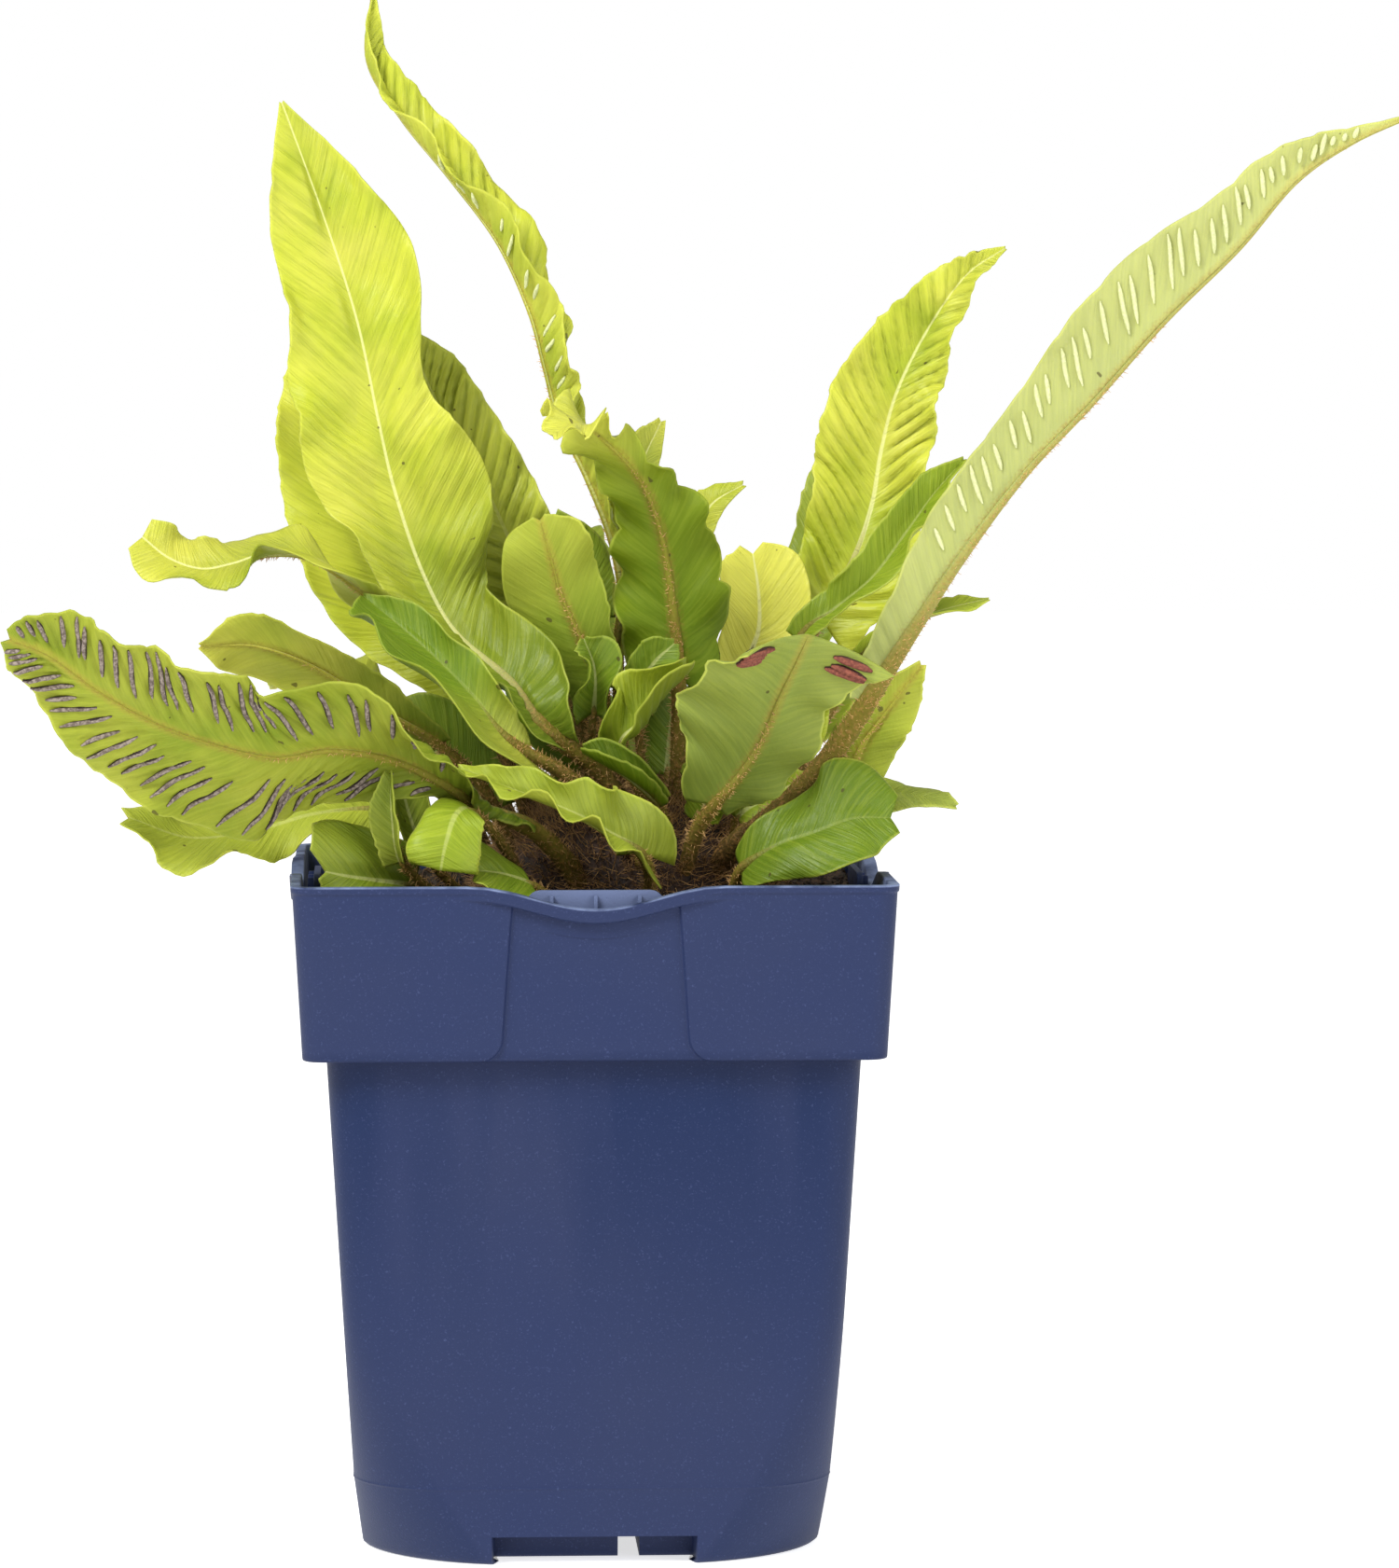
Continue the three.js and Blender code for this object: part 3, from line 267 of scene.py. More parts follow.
class Paint:
    """A material built of nodes round one Principled shader."""

    def __init__(self, name, **constants):
        self.material = bpy.data.materials.new(name)
        self.material.use_nodes = True
        self.tree = self.material.node_tree
        self.shader = self.tree.nodes["Principled BSDF"]
        for key, value in constants.items():
            self.shader.inputs[key.replace("_", " ")].default_value = value
        self.place = self.node("TexCoord", out="Object")

    def node(self, kind, settings=None, values=None, out=0):
        node = self.tree.nodes.new("ShaderNode" + kind)
        for key, value in (settings or {}).items():
            setattr(node, key, value)
        for key, value in (values or {}).items():
            self.feed(node.inputs[key], value)
        return Socket(self, node.outputs[out])

    def feed(self, socket, value):
        if isinstance(value, Socket):
            self.tree.links.new(value.socket, socket)
        elif socket.type == "RGBA":
            socket.default_value = (*value[:3], 1)
        else:
            socket.default_value = value

    def noise(self, scale, detail=2.0, place=None):
        values = {"Vector": place or self.place, "Scale": scale, "Detail": detail}
        return self.node("TexNoise", {}, values)

    def vector(self, x, y, z):
        return self.node("CombineXYZ", {}, {0: x, 1: y, 2: z})

    def mix(self, share, first, second):
        kind = {"data_type": "RGBA", "clamp_factor": True}
        return self.node("Mix", kind, {0: share, 6: first, 7: second}, 2)

    def layers(self, colour, *layers):
        """A colour with others laid over it in turn, each given as its share and itself."""
        for share, over in layers:
            colour = self.mix(share, colour, over)
        return colour

    def attribute(self, name, out="Vector"):
        return self.node("Attribute", {"attribute_name": name}, out=out)

    def finish(self, height, depth, colour, rough):
        """Links the shader, with a bump of a depth in metres for a height from 0 to 1."""
        bump = self.node("Bump", {}, {"Height": height, "Distance": depth, "Strength": 1.0})
        for key, value in (("Base Color", colour), ("Roughness", rough), ("Normal", bump)):
            self.feed(self.shader.inputs[key], value)
        return self.material


class Growth:
    """A Geometry Nodes tree with named inputs, run once on an object to make a plain mesh."""

    def __init__(self, name, **inputs):
        self.tree = bpy.data.node_groups.new(name, "GeometryNodeTree")
        self.add_socket("Geometry", "INPUT", "Geometry")
        self.keys = {key: self.add_socket(key, "INPUT", kind) for key, kind in inputs.items()}
        self.add_socket("Geometry", "OUTPUT", "Geometry")
        self.start = self.tree.nodes.new("NodeGroupInput")

    def add_socket(self, name, way, kind):
        item = self.tree.interface.new_socket(name, in_out=way, socket_type="NodeSocket" + kind)
        return item.identifier

    def input(self, key):
        return self.start.outputs[key]

    def node(self, kind, values, settings=None, out=0):
        node = self.tree.nodes.new(kind)
        for key, value in (settings or {}).items():
            setattr(node, key, value)
        for key, value in values.items():
            if isinstance(value, bpy.types.NodeSocket):
                self.tree.links.new(value, node.inputs[key])
            else:
                node.inputs[key].default_value = value
        return node.outputs[out]

    def end(self, geometry):
        real = self.node("GeometryNodeRealizeInstances", {0: geometry})
        painted = self.node("GeometryNodeSetMaterial", {0: real, "Material": self.input("Material")})
        self.tree.links.new(painted, self.tree.nodes.new("NodeGroupOutput").inputs[0])
        return self

    def run(self, thing, **values):
        """Puts the tree's result in place of the object's mesh."""
        modifier = thing.modifiers.new("growth", "NODES")
        modifier.node_group = self.tree
        for key, value in values.items():
            modifier[self.keys[key]] = value
        apply_modifier(thing, modifier)
        if not thing.data.polygons:
            raise RuntimeError(f"{thing.name} came out empty")


def apply_modifier(thing, modifier):
    graph = bpy.context.evaluated_depsgraph_get()
    thing.data = bpy.data.meshes.new_from_object(thing.evaluated_get(graph), depsgraph=graph)
    thing.modifiers.remove(modifier)


def tube_growth():
    """Tapered tubes along lines of edges, as thick as the points' girth says: scales, sori, roots."""
    growth = Growth("Tubes along lines", Sides="Int", Material="Material")
    girth = growth.node("GeometryNodeInputNamedAttribute", {"Name": "girth"}, {"data_type": "FLOAT"})
    line = growth.node("GeometryNodeMeshToCurve", {"Mesh": growth.input("Geometry")})
    circle = {"Resolution": growth.input("Sides"), "Radius": 1.0}
    ring = growth.node("GeometryNodeCurvePrimitiveCircle", circle)
    sweep = {"Curve": line, "Profile Curve": ring, "Scale": girth, "Fill Caps": True}
    return growth.end(growth.node("GeometryNodeCurveToMesh", sweep))


def tubes(name, lines, girths, sides, paint, **attributes):
    """Tubes along lines of equally many points, in millimetres: lines is (count, points, 3)."""
    count, steps, _ = lines.shape
    start = (np.arange(count) * steps)[:, None] + np.arange(steps - 1)
    edges = np.stack([start, start + 1], -1).reshape(-1, 2).tolist()
    attributes["girth"] = girths * MM
    values = {key: np.broadcast_to(value, (count, steps)).ravel() for key, value in attributes.items()}
    thing = new_object(name, new_mesh(name, lines.reshape(-1, 3), edges, [], values))
    tube_growth().run(thing, Sides=sides, Material=paint)
    thing.data.shade_smooth()
    return thing


def crumb_growth():
    """Uneven grains scattered on the faces that look up."""
    growth = Growth("Grains", Density="Float", Size="Float", Seed="Int", Material="Material")
    seed = growth.input("Seed")
    height = growth.node("ShaderNodeSeparateXYZ", {0: growth.node("GeometryNodeInputNormal", {})}, out=2)
    greater = {"data_type": "FLOAT", "operation": "GREATER_THAN"}
    upward = growth.node("FunctionNodeCompare", {0: height, 1: 0.5}, greater)
    spread = {"Mesh": growth.input("Geometry"), "Selection": upward, "Density": growth.input("Density"),
              "Seed": seed}
    points = growth.node("GeometryNodeDistributePointsOnFaces", spread)
    grain = growth.node("GeometryNodeMeshIcoSphere", {"Radius": 1.0, "Subdivisions": 1})
    least_turn, most_turn = (0, 0, 0), (6.28, 6.28, 6.28)
    least_shape, most_shape = (0.15, 0.1, 0.1), (1, 0.7, 0.5)
    vectors = {"data_type": "FLOAT_VECTOR"}
    turn = growth.node("FunctionNodeRandomValue", {0: least_turn, 1: most_turn, "Seed": seed}, vectors)
    shape = growth.node("FunctionNodeRandomValue", {0: least_shape, 1: most_shape, "Seed": seed}, vectors)
    sized = {0: shape, "Scale": growth.input("Size")}
    scale = growth.node("ShaderNodeVectorMath", sized, {"operation": "SCALE"})
    grains = {"Points": points, "Instance": grain, "Rotation": turn, "Scale": scale}
    return growth.end(growth.node("GeometryNodeInstanceOnPoints", grains))


# ---------------------------------------------------------------- driving sizes, in millimetres and degrees


POT = dict(height=126, rim_half=55, band_half=53.2, band_foot=94, body_half=48.9, line_half=44.2,
           line_height=14.4, foot_half=42.5, floor=7, band_corner=4, body_corner=6, foot_corner=24,
           crease=12, crease_top=48, bead=0.28)
RECESS = dict(top=15, foot=17.2, corner=4)
SCOOP = dict(half=23, depth=4.1, lip=2.7, lip_proud=0.9)
TAB = dict(half=12.5, thick=1.2, top=125, base=117, corner=2.5, ribs=(-8, 0, 8), rib_half=0.35, rib_deep=1.2,
           inset=3.6, foot_inset=1.2, foot_tall=1.6, outer=52.8, inner=49)
NOTCH = dict(half=18.6, height=5.3, depth=8)
DRAIN = dict(offset=6.5, width=4)
SOIL = dict(top=120.2, swell=1.1, rise=0.018, edge=0.8, gap=0.6)
CROWN_MIDDLE = np.array([8, 4, 119])
CROWN_HALVES = np.array([28, 24, 21])
CROWN_LUMP = 0.7
SLANT = dict(middle=72, tip=50, fade=0.06)
RIB = dict(foot=1.06, end=0.86, least=0.22, taper=3.2)
VEIN_LEAN = 0.47
# So long that the painted sheen's colour is all but even over one plant.
SHEEN_PITCH = 12000
SORI_LEAN = 2
ROOT = dict(radius=0.22, end=0.4, pace=1.3, reach=50)
MARGIN_SEED = 100
SORI_SEED = 40
CAMERA = dict(place=(-37.87, -1254.1, 221.7), yaw=2.70, pitch=3.68, lens=152.93)

# The rows of points up the pot's outside. In the foot: how far a row draws in, and its height. In the body:
# heights, close together at the mould line. At the band's foot: how far a row draws in, and its height over
# the band's foot. Under the rim: depths.
FOOT_ROWS = ((1.2, 0), (0.5, 0.18), (0.12, 0.6), (0, 1.3), (0, 2.6), (0, 4), (0, NOTCH["height"]))
BODY_ROWS = (NOTCH["height"] + 0.02, 7, 9, 11, 13, 13.9, 14.15, 14.3, 14.4, 14.5, 14.65, 15, 17, 20, 25)
BAND_ROWS = ((0.5, 0), (0.16, 0.1), (0.04, 0.28), (0, 0.55))
RIM_ROWS = (5.5, 4.4, 3.6, 3.1, 2.9, 2.75, 2.6, 2.45, 2.3, 1.9, 1.6, 1.45, 1.3, 1.1, 0.8, 0.45, 0.22, 0.08)

# What every frond has unless its own line below says otherwise.
COMMON = dict(blade=2, roll=[0], tip=SLANT["tip"], waves=1, pleat=0.05, yellow=0.35, tone=[0], ragged=0.3,
              scallop=(0, 8), ruffle=0.6, dimple=0.6, scaly=0.3, shaggy=1, sori=None)

# The fronds. path is the rib from its root to its tip and blade the index of the point where the blade
# starts. face gives the ways the upper side looks, spread evenly along the blade. left and right give the
# width of each half, as seen from the upper side; right is as left where it is missing. stem is the stalk's
# radius. cup lifts the halves, roll curls them, ear sweeps the blade's foot back and tip is the slant at its
# end, all in degrees. wave is the height of the margin's waves and waves their number.
#
# For the finish, pleat is the height of the broad ridges, ruffle that of the margin's ruffles and dimple
# that of the dents, in mm. yellow is how yellow the frond is or, below 0, how pale and grey. tone is how
# light or, below 0, how dark it is along its blade: partly the frond's own colour, partly painted light
# and painted shade. ragged and scallop (depth in mm and number) shape the margin. scaly is how scaly the
# rib is below and shaggy how scaly the stalk. sori are the rows of spore cases: the stretch of the blade,
# how many on each half, where each starts and ends between rib and margin, its radius and its paint.
FRONDS = [{**COMMON, "right": frond["left"], **frond} for frond in (
    dict(name="tall_left", green="fresh", stem=1.9, blade=3, cup=[24, 12], roll=[50, 0, 0, -15], ear=85,
         wave=1.6, waves=6, pleat=0.25, dimple=1.2, yellow=0.8, tone=[-0.9, -0.5, -0.1, -0.1, -0.2],
         scaly=0.6, shaggy=1.8,
         path=[[7, -5, 117], [8, -8, 131], [3, -11, 143], [-9, -16, 153], [-15, -11, 161], [-25, -5, 170],
         [-31, -2, 181], [-36, 0, 196], [-39, 1, 209], [-43, 2, 228], [-49, 3, 247], [-57, 3, 269]],
         face=[[0.1, -0.75, 0.65], [0.15, -0.7, 0.7], [0.05, -1, 0.1], [0, -1, 0.1], [0.1, -1, 0]],
         left=[7, 9, 10, 12, 18, 18, 15, 11, 0.5], right=[8, 11, 12, 20, 18, 12, 17, 11, 0.5]),
    dict(name="back_left", green="fresh", stem=1.5, cup=[15], roll=[-20], ear=60, wave=2, waves=3,
         yellow=0.5, tone=[0, 0.1],
         path=[[-4, 10, 117], [-13, 15, 148], [-23, 19, 163], [-37, 22, 176], [-45, 24, 192],
         [-49, 25, 209], [-53, 26, 226]],
         face=[[0, -1, 0.3], [0, -1, 0.1]], left=[9, 13, 13, 10, 0.5], right=[8, 13, 13, 9, 0.5]),
    dict(name="glossy_left", green="mid", stem=1.6, cup=[18], roll=[-20], ear=60, wave=2, waves=5,
         pleat=0.75, yellow=0.2, tone=[0.4],
         path=[[4, 6, 117], [0, 10, 148], [-6, 12, 168], [-13, 14, 184], [-20, 16, 199], [-28, 18, 213],
         [-34, 20, 227]],
         face=[[-0.1, -1, 0.2], [-0.2, -1, 0.1]], left=[8, 12, 11, 9, 0.5], right=[7, 10, 10, 9, 0.5]),
    dict(name="strap_left", green="fresh", stem=1.2, blade=3, cup=[10], ear=30, tip=80, wave=2.2, waves=3,
         yellow=0.9, tone=[-0.3, -0.25, 0], ruffle=0.3,
         path=[[-7, 3, 117], [-14, 3, 143], [-23, 1, 157], [-31, -6, 166], [-41, -14, 177], [-51, -15, 184],
         [-59, -14, 185], [-66, -14, 183], [-72, -14, 182], [-78, -14, 184], [-83, -14, 188]],
         face=[[0, 0.5, 0.85], [0, -0.1, 1], [0.1, -0.6, 0.8], [-0.1, -0.75, 0.65]],
         left=[1, 3, 6, 8, 7, 6, 7, 7, 4], right=[2, 5, 9, 10, 10, 7, 7, 7, 4]),
    dict(name="spoon_left", green="deep", stem=1.4, blade=3, cup=[20], roll=[40, 30], ear=85, wave=1.2,
         waves=3, yellow=0, tone=[0.4, -0.1, -0.2], ruffle=0.3, shaggy=1.8,
         path=[[3, -9, 117], [4, -12, 131], [-2, -17, 142], [-15, -21.7, 150.3], [-21, -23.8, 157.8],
         [-27, -22.7, 164.2], [-34, -20, 170.5], [-42, -16.5, 177]],
         face=[[0.15, -0.7, 0.7], [0.15, -0.7, 0.7]], left=[11.6, 18, 18, 13, 0.8],
         right=[4.5, 6, 6, 6, 0.8]),
    dict(name="pale_left", green="dull", stem=1.2, cup=[14], roll=[-30], ear=30, wave=0.9, waves=2,
         yellow=0.9, tone=[-0.4, 0.2, 0.5], ruffle=0.2,
         path=[[-10, -2, 117], [-18, -6, 138], [-28, -9, 149], [-39, -12, 156], [-51, -15, 164],
         [-62, -17, 168], [-72, -18, 168]],
         face=[[0.1, 0.85, 0.5], [0, 0.85, 0.5]], left=[3, 6, 7, 7, 0.8], right=[5, 8, 9, 8, 0.8]),
    dict(name="spored_left", green="mid", stem=2, cup=[10, 5, 0, 0, 8],
         roll=[-110, -110, -60, 0, 0, 0, 0, 0, 10], ear=10, wave=1.8, waves=6, pleat=0.45, dimple=1,
         yellow=0.4, tone=[-0.6, -0.4, -0.3, -0.3, -0.3], ragged=0.6, scallop=(0.5, 26), scaly=1,
         sori=dict(stretch=(0.2, 0.97), count=(27, 28), reach=(0.36, 0.92), radius=0.5, paint="ripe"),
         path=[[1, -14, 117], [-4, -17, 127], [-11, -20, 134], [-20, -24, 138], [-27, -29, 143],
         [-37, -35, 148], [-48, -41, 150], [-58, -45, 149], [-70, -50, 152], [-80, -53, 156],
         [-90, -56, 162], [-98, -58, 168], [-105, -59, 171]],
         face=[[0.1, 0.6, 0.8], [0.1, 0.85, 0.5], [0.1, 0.9, 0.4], [0.1, 0.9, 0.4]],
         left=[3, 5, 8, 14, 16, 17, 17, 15, 13, 9, 2], right=[1.5, 2, 5, 14, 19, 19, 18, 15, 11, 8, 2]),
    dict(name="wavy_left", green="mid", stem=1.3, cup=[8], ear=20, wave=2.2, waves=3, yellow=0.2,
         tone=[0.3],
         path=[[-13, -8, 117], [-24, -12, 130], [-37, -18, 137], [-50, -21, 137], [-62, -24, 134],
         [-74, -28, 133], [-85, -32, 137]],
         face=[[0, -0.7, 0.7], [0, -0.7, 0.7]], left=[4, 7, 8, 9, 3], right=[4, 6, 7, 7, 2.5]),
    dict(name="rim_left", green="mid", stem=1, cup=[10], roll=[-30], ear=40, wave=0.8, tone=[-0.6, -0.4],
         ruffle=0.3,
         path=[[-19, -14, 117], [-26, -21, 121], [-33, -28, 124], [-40, -33.5, 125.5], [-45, -36.5, 126.5],
         [-49, -38.5, 127.5]],
         face=[[0, -0.92, 0.4]], left=[5, 7, 6, 2], right=[8, 13, 12, 5]),
    dict(name="folded_left", green="dull", stem=0.9, cup=[45], ear=0, wave=0.5, tone=[-0.5],
         path=[[-20, -18, 117], [-28, -28, 122], [-35, -34, 129], [-36.5, -35, 136.5], [-37, -34.6, 145]],
         face=[[-0.6, -0.8, 0.1]], left=[3.5, 5, 1.5]),
    dict(name="pleated_left", green="dull", stem=0.9, cup=[25], roll=[25], ear=20, wave=0.8, tone=[-0.5],
         path=[[-16, -13, 117], [-25, -17.5, 123], [-31, -19, 130], [-34, -19.5, 137.5],
         [-35.5, -19.5, 145]],
         face=[[0.4, -0.85, 0.2]], left=[3.5, 7, 2], right=[3.5, 6, 2]),
    dict(name="cut_left", green="mid", stem=1, cup=[12], roll=[-40], ear=0, tip=95, wave=0.7, yellow=0.2,
         ruffle=0.2,
         path=[[-9, -17, 117], [-16, -26, 131], [-22, -33, 138], [-25, -38, 138], [-27, -42, 133],
         [-28, -43, 128]],
         face=[[0, -0.5, 0.85], [0, -0.9, 0.4], [0, -1, 0.2]], left=[5, 6, 7, 7], right=[5, 6, 7, 6]),
    dict(name="rim_front", green="deep", stem=0.9, cup=[8], roll=[-20], ear=20, wave=0.6,
         path=[[-4, -19, 117], [-7.5, -25.5, 121.5], [-11.5, -29.5, 124.5], [-16.5, -33.5, 126.5],
         [-21.5, -37.5, 127.5]],
         face=[[0.1, -0.6, 0.8]], left=[6, 11.5, 4], right=[6, 10, 4]),
    dict(name="cut_front", green="mid", stem=1.2, cup=[20, 30], roll=[0, 50, -20], ear=85, wave=2, waves=4,
         yellow=0.2, tone=[0.2], scaly=0.5,
         path=[[9, -18, 117], [11, -23, 124], [9, -27, 130], [3, -31, 134], [-4, -34.2, 138],
         [-14, -35.4, 142], [-24.5, -34.9, 146.2]],
         face=[[0.2, -0.75, 0.65], [0.2, -0.7, 0.7]], left=[8, 7, 5, 5, 0.8], right=[9, 9, 6, 5, 0.8]),
    dict(name="upright_front", green="mid", stem=0.9, cup=[15], roll=[-30], ear=20, wave=0.9,
         path=[[7, -13, 117], [9, -16, 124], [9, -18, 129.5], [8, -19, 133.5], [7, -19, 137.5]],
         face=[[0, -1, 0.2]], left=[4, 5, 3]),
    dict(name="strip_front", green="mid", stem=0.9, cup=[15], roll=[-40], ear=0, wave=0.6,
         path=[[16, -4, 117], [19, -8, 127], [21, -10, 134], [22, -12, 140], [22, -13, 147]],
         face=[[-0.2, -1, 0.1]], left=[4, 6, 3], right=[3.5, 5, 3]),
    dict(name="channelled_front", green="deep", stem=1, cup=[35], roll=[60], ear=0, wave=0.5,
         path=[[12, -9, 117], [15, -13, 130], [13, -17, 138], [8, -20, 143], [3, -21, 146], [-1, -21, 148]],
         face=[[0.2, -0.6, 0.8]], left=[3, 5, 5, 2]),
    dict(name="bright_front", green="fresh", stem=1.1, cup=[30], roll=[60], ear=20, wave=1.6, pleat=0.3,
         yellow=0.6,
         path=[[13, -5, 117], [12, -9, 134], [6, -14, 148], [9, -16, 153], [13, -17, 158], [18, -17, 163]],
         face=[[-0.3, -0.7, 0.6]], left=[5, 9, 7, 3], right=[4, 8, 8, 4]),
    dict(name="centre", green="deep", stem=1.6, cup=[10, 14, 20], ear=70, wave=3, waves=6, pleat=0.1,
         yellow=0, tone=[-0.1, 0, 0.1, 0.7, 0.8], scallop=(2.4, 9), scaly=0.6,
         path=[[15, 1, 117], [17, -3, 142], [17, -6, 162], [16, -6, 174], [14, -7, 187], [10, -10, 198],
         [3, -16, 206], [-2, -22, 209], [-7, -27, 207]],
         face=[[0, 1, 0], [0, 1, 0.1], [-0.1, 0.8, 0.6], [-0.3, -0.6, 0.8], [-0.3, -0.9, 0.4]],
         left=[7, 11, 10, 5, 5, 6, 1], right=[9, 11, 9.5, 8, 9, 7, 1]),
    dict(name="folded_tall", green="fresh", stem=1.3, cup=[50], ear=10, wave=1.8, waves=8, pleat=0.6,
         yellow=0.6, scallop=(0.5, 30), scaly=0.5, sori=dict(stretch=(0.3, 0.75), count=(14, 0),
         reach=(0.3, 0.75), radius=0.4, paint="young"),
         path=[[9, 8, 117], [7, 6, 142], [6, 4, 165], [7, 3, 176], [5, 2, 187], [0.5, 1, 198.5],
         [-5, 0, 210], [-7.5, 0, 219], [-10.5, 1, 230], [-16.5, 2, 243], [-25.5, 3, 255], [-34.5, 4, 266],
         [-41, 5, 277], [-40, 5, 290]],
         face=[[0.9, -0.4, 0.1], [0.9, -0.2, 0.1], [1, 0.1, 0.1], [0.8, -0.5, 0.2], [0.7, -0.6, 0.3]],
         left=[2, 3, 4, 5, 6, 7, 7, 7, 6, 5, 4, 0.5], right=[2, 3, 4, 5, 6, 8, 10, 9, 8, 7, 5, 0.5]),
    dict(name="pale_tip", green="dull", stem=1, cup=[15], ear=20, wave=0.8, yellow=0.7,
         path=[[17, 12, 117], [16, 15, 150], [13, 18, 176], [10, 19, 190], [11, 21, 200], [15, 24, 209]],
         face=[[0, -1, 0.3]], left=[4, 6, 6, 1], right=[4, 5, 4, 1]),
    dict(name="yellow_tip", green="fresh", stem=1, cup=[15], ear=20, wave=0.8, yellow=0.9,
         path=[[22, 8, 117], [21, 10, 148], [20, 12, 173], [21, 13, 186], [24, 13, 193], [30, 12, 197]],
         face=[[-0.3, -0.8, 0.5]], left=[3, 4, 4, 1], right=[3, 4, 3, 1]),
    dict(name="round_centre", green="dull", stem=1.2, cup=[8], roll=[-10], ear=50, wave=1, waves=2,
         yellow=0.3, tone=[-0.4, 0.1, 0.2], ruffle=0.2, scaly=0.5,
         path=[[1, 1, 117], [3, -3, 142], [3, -5, 160], [-1, -6, 168], [-5, -7, 177], [-7, -9, 184],
         [-9, -10, 191]],
         face=[[0, 1, 0.2]], left=[3, 8, 9.5, 9, 1.5], right=[7, 11, 11, 9, 1.5]),
    dict(name="inner_left", green="deep", stem=0.9, blade=1, cup=[15], roll=[-10], ear=30, wave=0.8,
         path=[[-9, 7, 117], [-18, 8, 135.5], [-24, 8, 142], [-31, 8, 149], [-38, 8, 154]],
         face=[[0.1, -0.9, 0.4]], left=[4, 7, 6, 1.5], right=[7, 11, 9, 1.5]),
    dict(name="inner_centre", green="deep", stem=0.9, cup=[15], roll=[-20], ear=50, wave=0.8,
         path=[[9, 13, 117], [6, 14, 132], [3, 14, 143.5], [0, 14, 151], [-2, 14, 157]],
         face=[[0, -1, 0.2]], left=[9, 13, 4], right=[6, 8, 1]),
    dict(name="inner_right", green="deep", stem=0.9, cup=[15], roll=[-20], ear=20, wave=0.8,
         path=[[15, 5, 117], [15, 5, 130], [15.3, 5, 142.5], [16, 5, 152], [17, 5, 161]],
         face=[[0, -1, 0.2]], left=[5, 6, 1]),
    dict(name="scalloped_centre", green="deep", stem=0.9, cup=[15], roll=[50], ear=40, wave=2,
         path=[[-1, -4, 117], [0, -5, 142], [1, -9, 155], [1, -12, 163], [-1, -15, 169]],
         face=[[0.1, -0.9, 0.4]], left=[4, 5, 1], right=[4, 6, 1]),
    dict(name="twisted_centre", green="deep", stem=0.9, cup=[20], ear=20, wave=0.8,
         path=[[4, 2, 117], [2, 3, 150], [1, 4, 172], [-1, 5, 182], [-6, 5, 191]],
         face=[[0.3, -0.9, 0.3]], left=[5, 6.5, 2], right=[4.6, 6.5, 2]),
    dict(name="dark_centre", green="deep", stem=0.9, cup=[20], ear=20, wave=0.6,
         path=[[10, 0, 117], [10, -5, 145], [9, -9, 158], [12, -11, 164], [16, -12, 168]],
         face=[[0, -0.9, 0.3]], left=[3, 5, 1]),
    dict(name="right_upright", green="fresh", stem=1.5, cup=[14], ear=50, wave=1.3, waves=6, pleat=0.75,
         yellow=0.8, scallop=(0.5, 24),
         path=[[25, 12, 117], [35, 14, 146], [45, 15, 172], [51, 15, 182], [55, 17, 193], [57, 18, 204],
         [60, 18, 215], [66, 18, 227], [73, 16, 237], [80, 12, 242]],
         face=[[-0.1, -1, 0.2], [-0.1, -1, 0.1], [-0.2, -1, 0.2]], left=[8, 12, 14, 14, 12, 8, 4, 0.5],
         right=[10, 12, 11, 11, 9, 6, 3, 0.5]),
    dict(name="channelled_right", green="mid", stem=1.2, cup=[35], ear=10, wave=1, waves=3, yellow=0.1,
         tone=[-0.15],
         path=[[27, 2, 117], [32, 1, 148], [40, 0, 168], [47, -1, 174], [54, -2, 180], [60, -2, 188],
         [65, -2, 195], [71, -2, 202]],
         face=[[-0.2, -0.8, 0.6]], left=[3, 5, 6, 6, 5, 0.8]),
    dict(name="right_long", green="mid", stem=2.2, blade=5, cup=[50], ear=40, wave=1.2, waves=6, pleat=0.2,
         yellow=-0.7, tone=[-0.2, -0.1, 0, 0.2], scallop=(0.4, 16), scaly=1, sori=dict(stretch=(0.2, 0.9),
         count=(0, 33), reach=(0.36, 0.84), radius=0.5, paint="young"),
         path=[[20, -9, 117], [26, -14, 129], [33, -18, 135], [40, -22, 142], [46, -26, 150],
         [51, -29, 158], [59, -32, 171], [68, -34, 185], [79, -37, 200], [91, -40, 213], [104, -44, 228],
         [117, -47, 241], [127, -50, 253], [137, -52, 260], [148, -54, 265]],
         face=[[-0.6, 0.7, 0.4], [-0.6, 0.6, 0.5]], left=[3, 5, 8, 9, 9, 10, 10, 8, 4, 0.5],
         right=[3.5, 7, 10, 11, 15, 14.5, 11, 7.5, 3, 0.5]),
    dict(name="broad_front", green="dull", stem=1.5, blade=3, cup=[10, 6, 0], roll=[0, -10, -40], ear=50,
         tip=100, wave=1.3, waves=4, yellow=-0.25, tone=[-0.1, -0.15], scallop=(0.6, 12), ruffle=0.3,
         scaly=0.8, sori=dict(stretch=(0.78, 0.94), count=(3, 4), reach=(0.5, 0.9), radius=0.8,
         paint="brown"),
         path=[[15, -14, 117], [18, -17, 127], [20, -21, 134], [23, -26, 139], [27, -29, 144],
         [31, -33, 151], [34, -37, 159], [37, -41, 166], [39, -44, 171]],
         face=[[-0.1, 0.9, 0.4], [-0.1, 0.9, 0.5], [-0.1, 0.4, 0.9]], left=[4, 9, 11, 10, 14, 19],
         right=[6, 14, 18, 17, 16, 15]),
    dict(name="patch_right", green="fresh", stem=0.9, cup=[15], ear=10, wave=0.5,
         path=[[23, 1, 117], [30, -2, 136], [37, -8, 146], [41, -12, 151], [44, -15, 157]],
         face=[[0, -0.9, 0.4]], left=[3, 4, 1]),
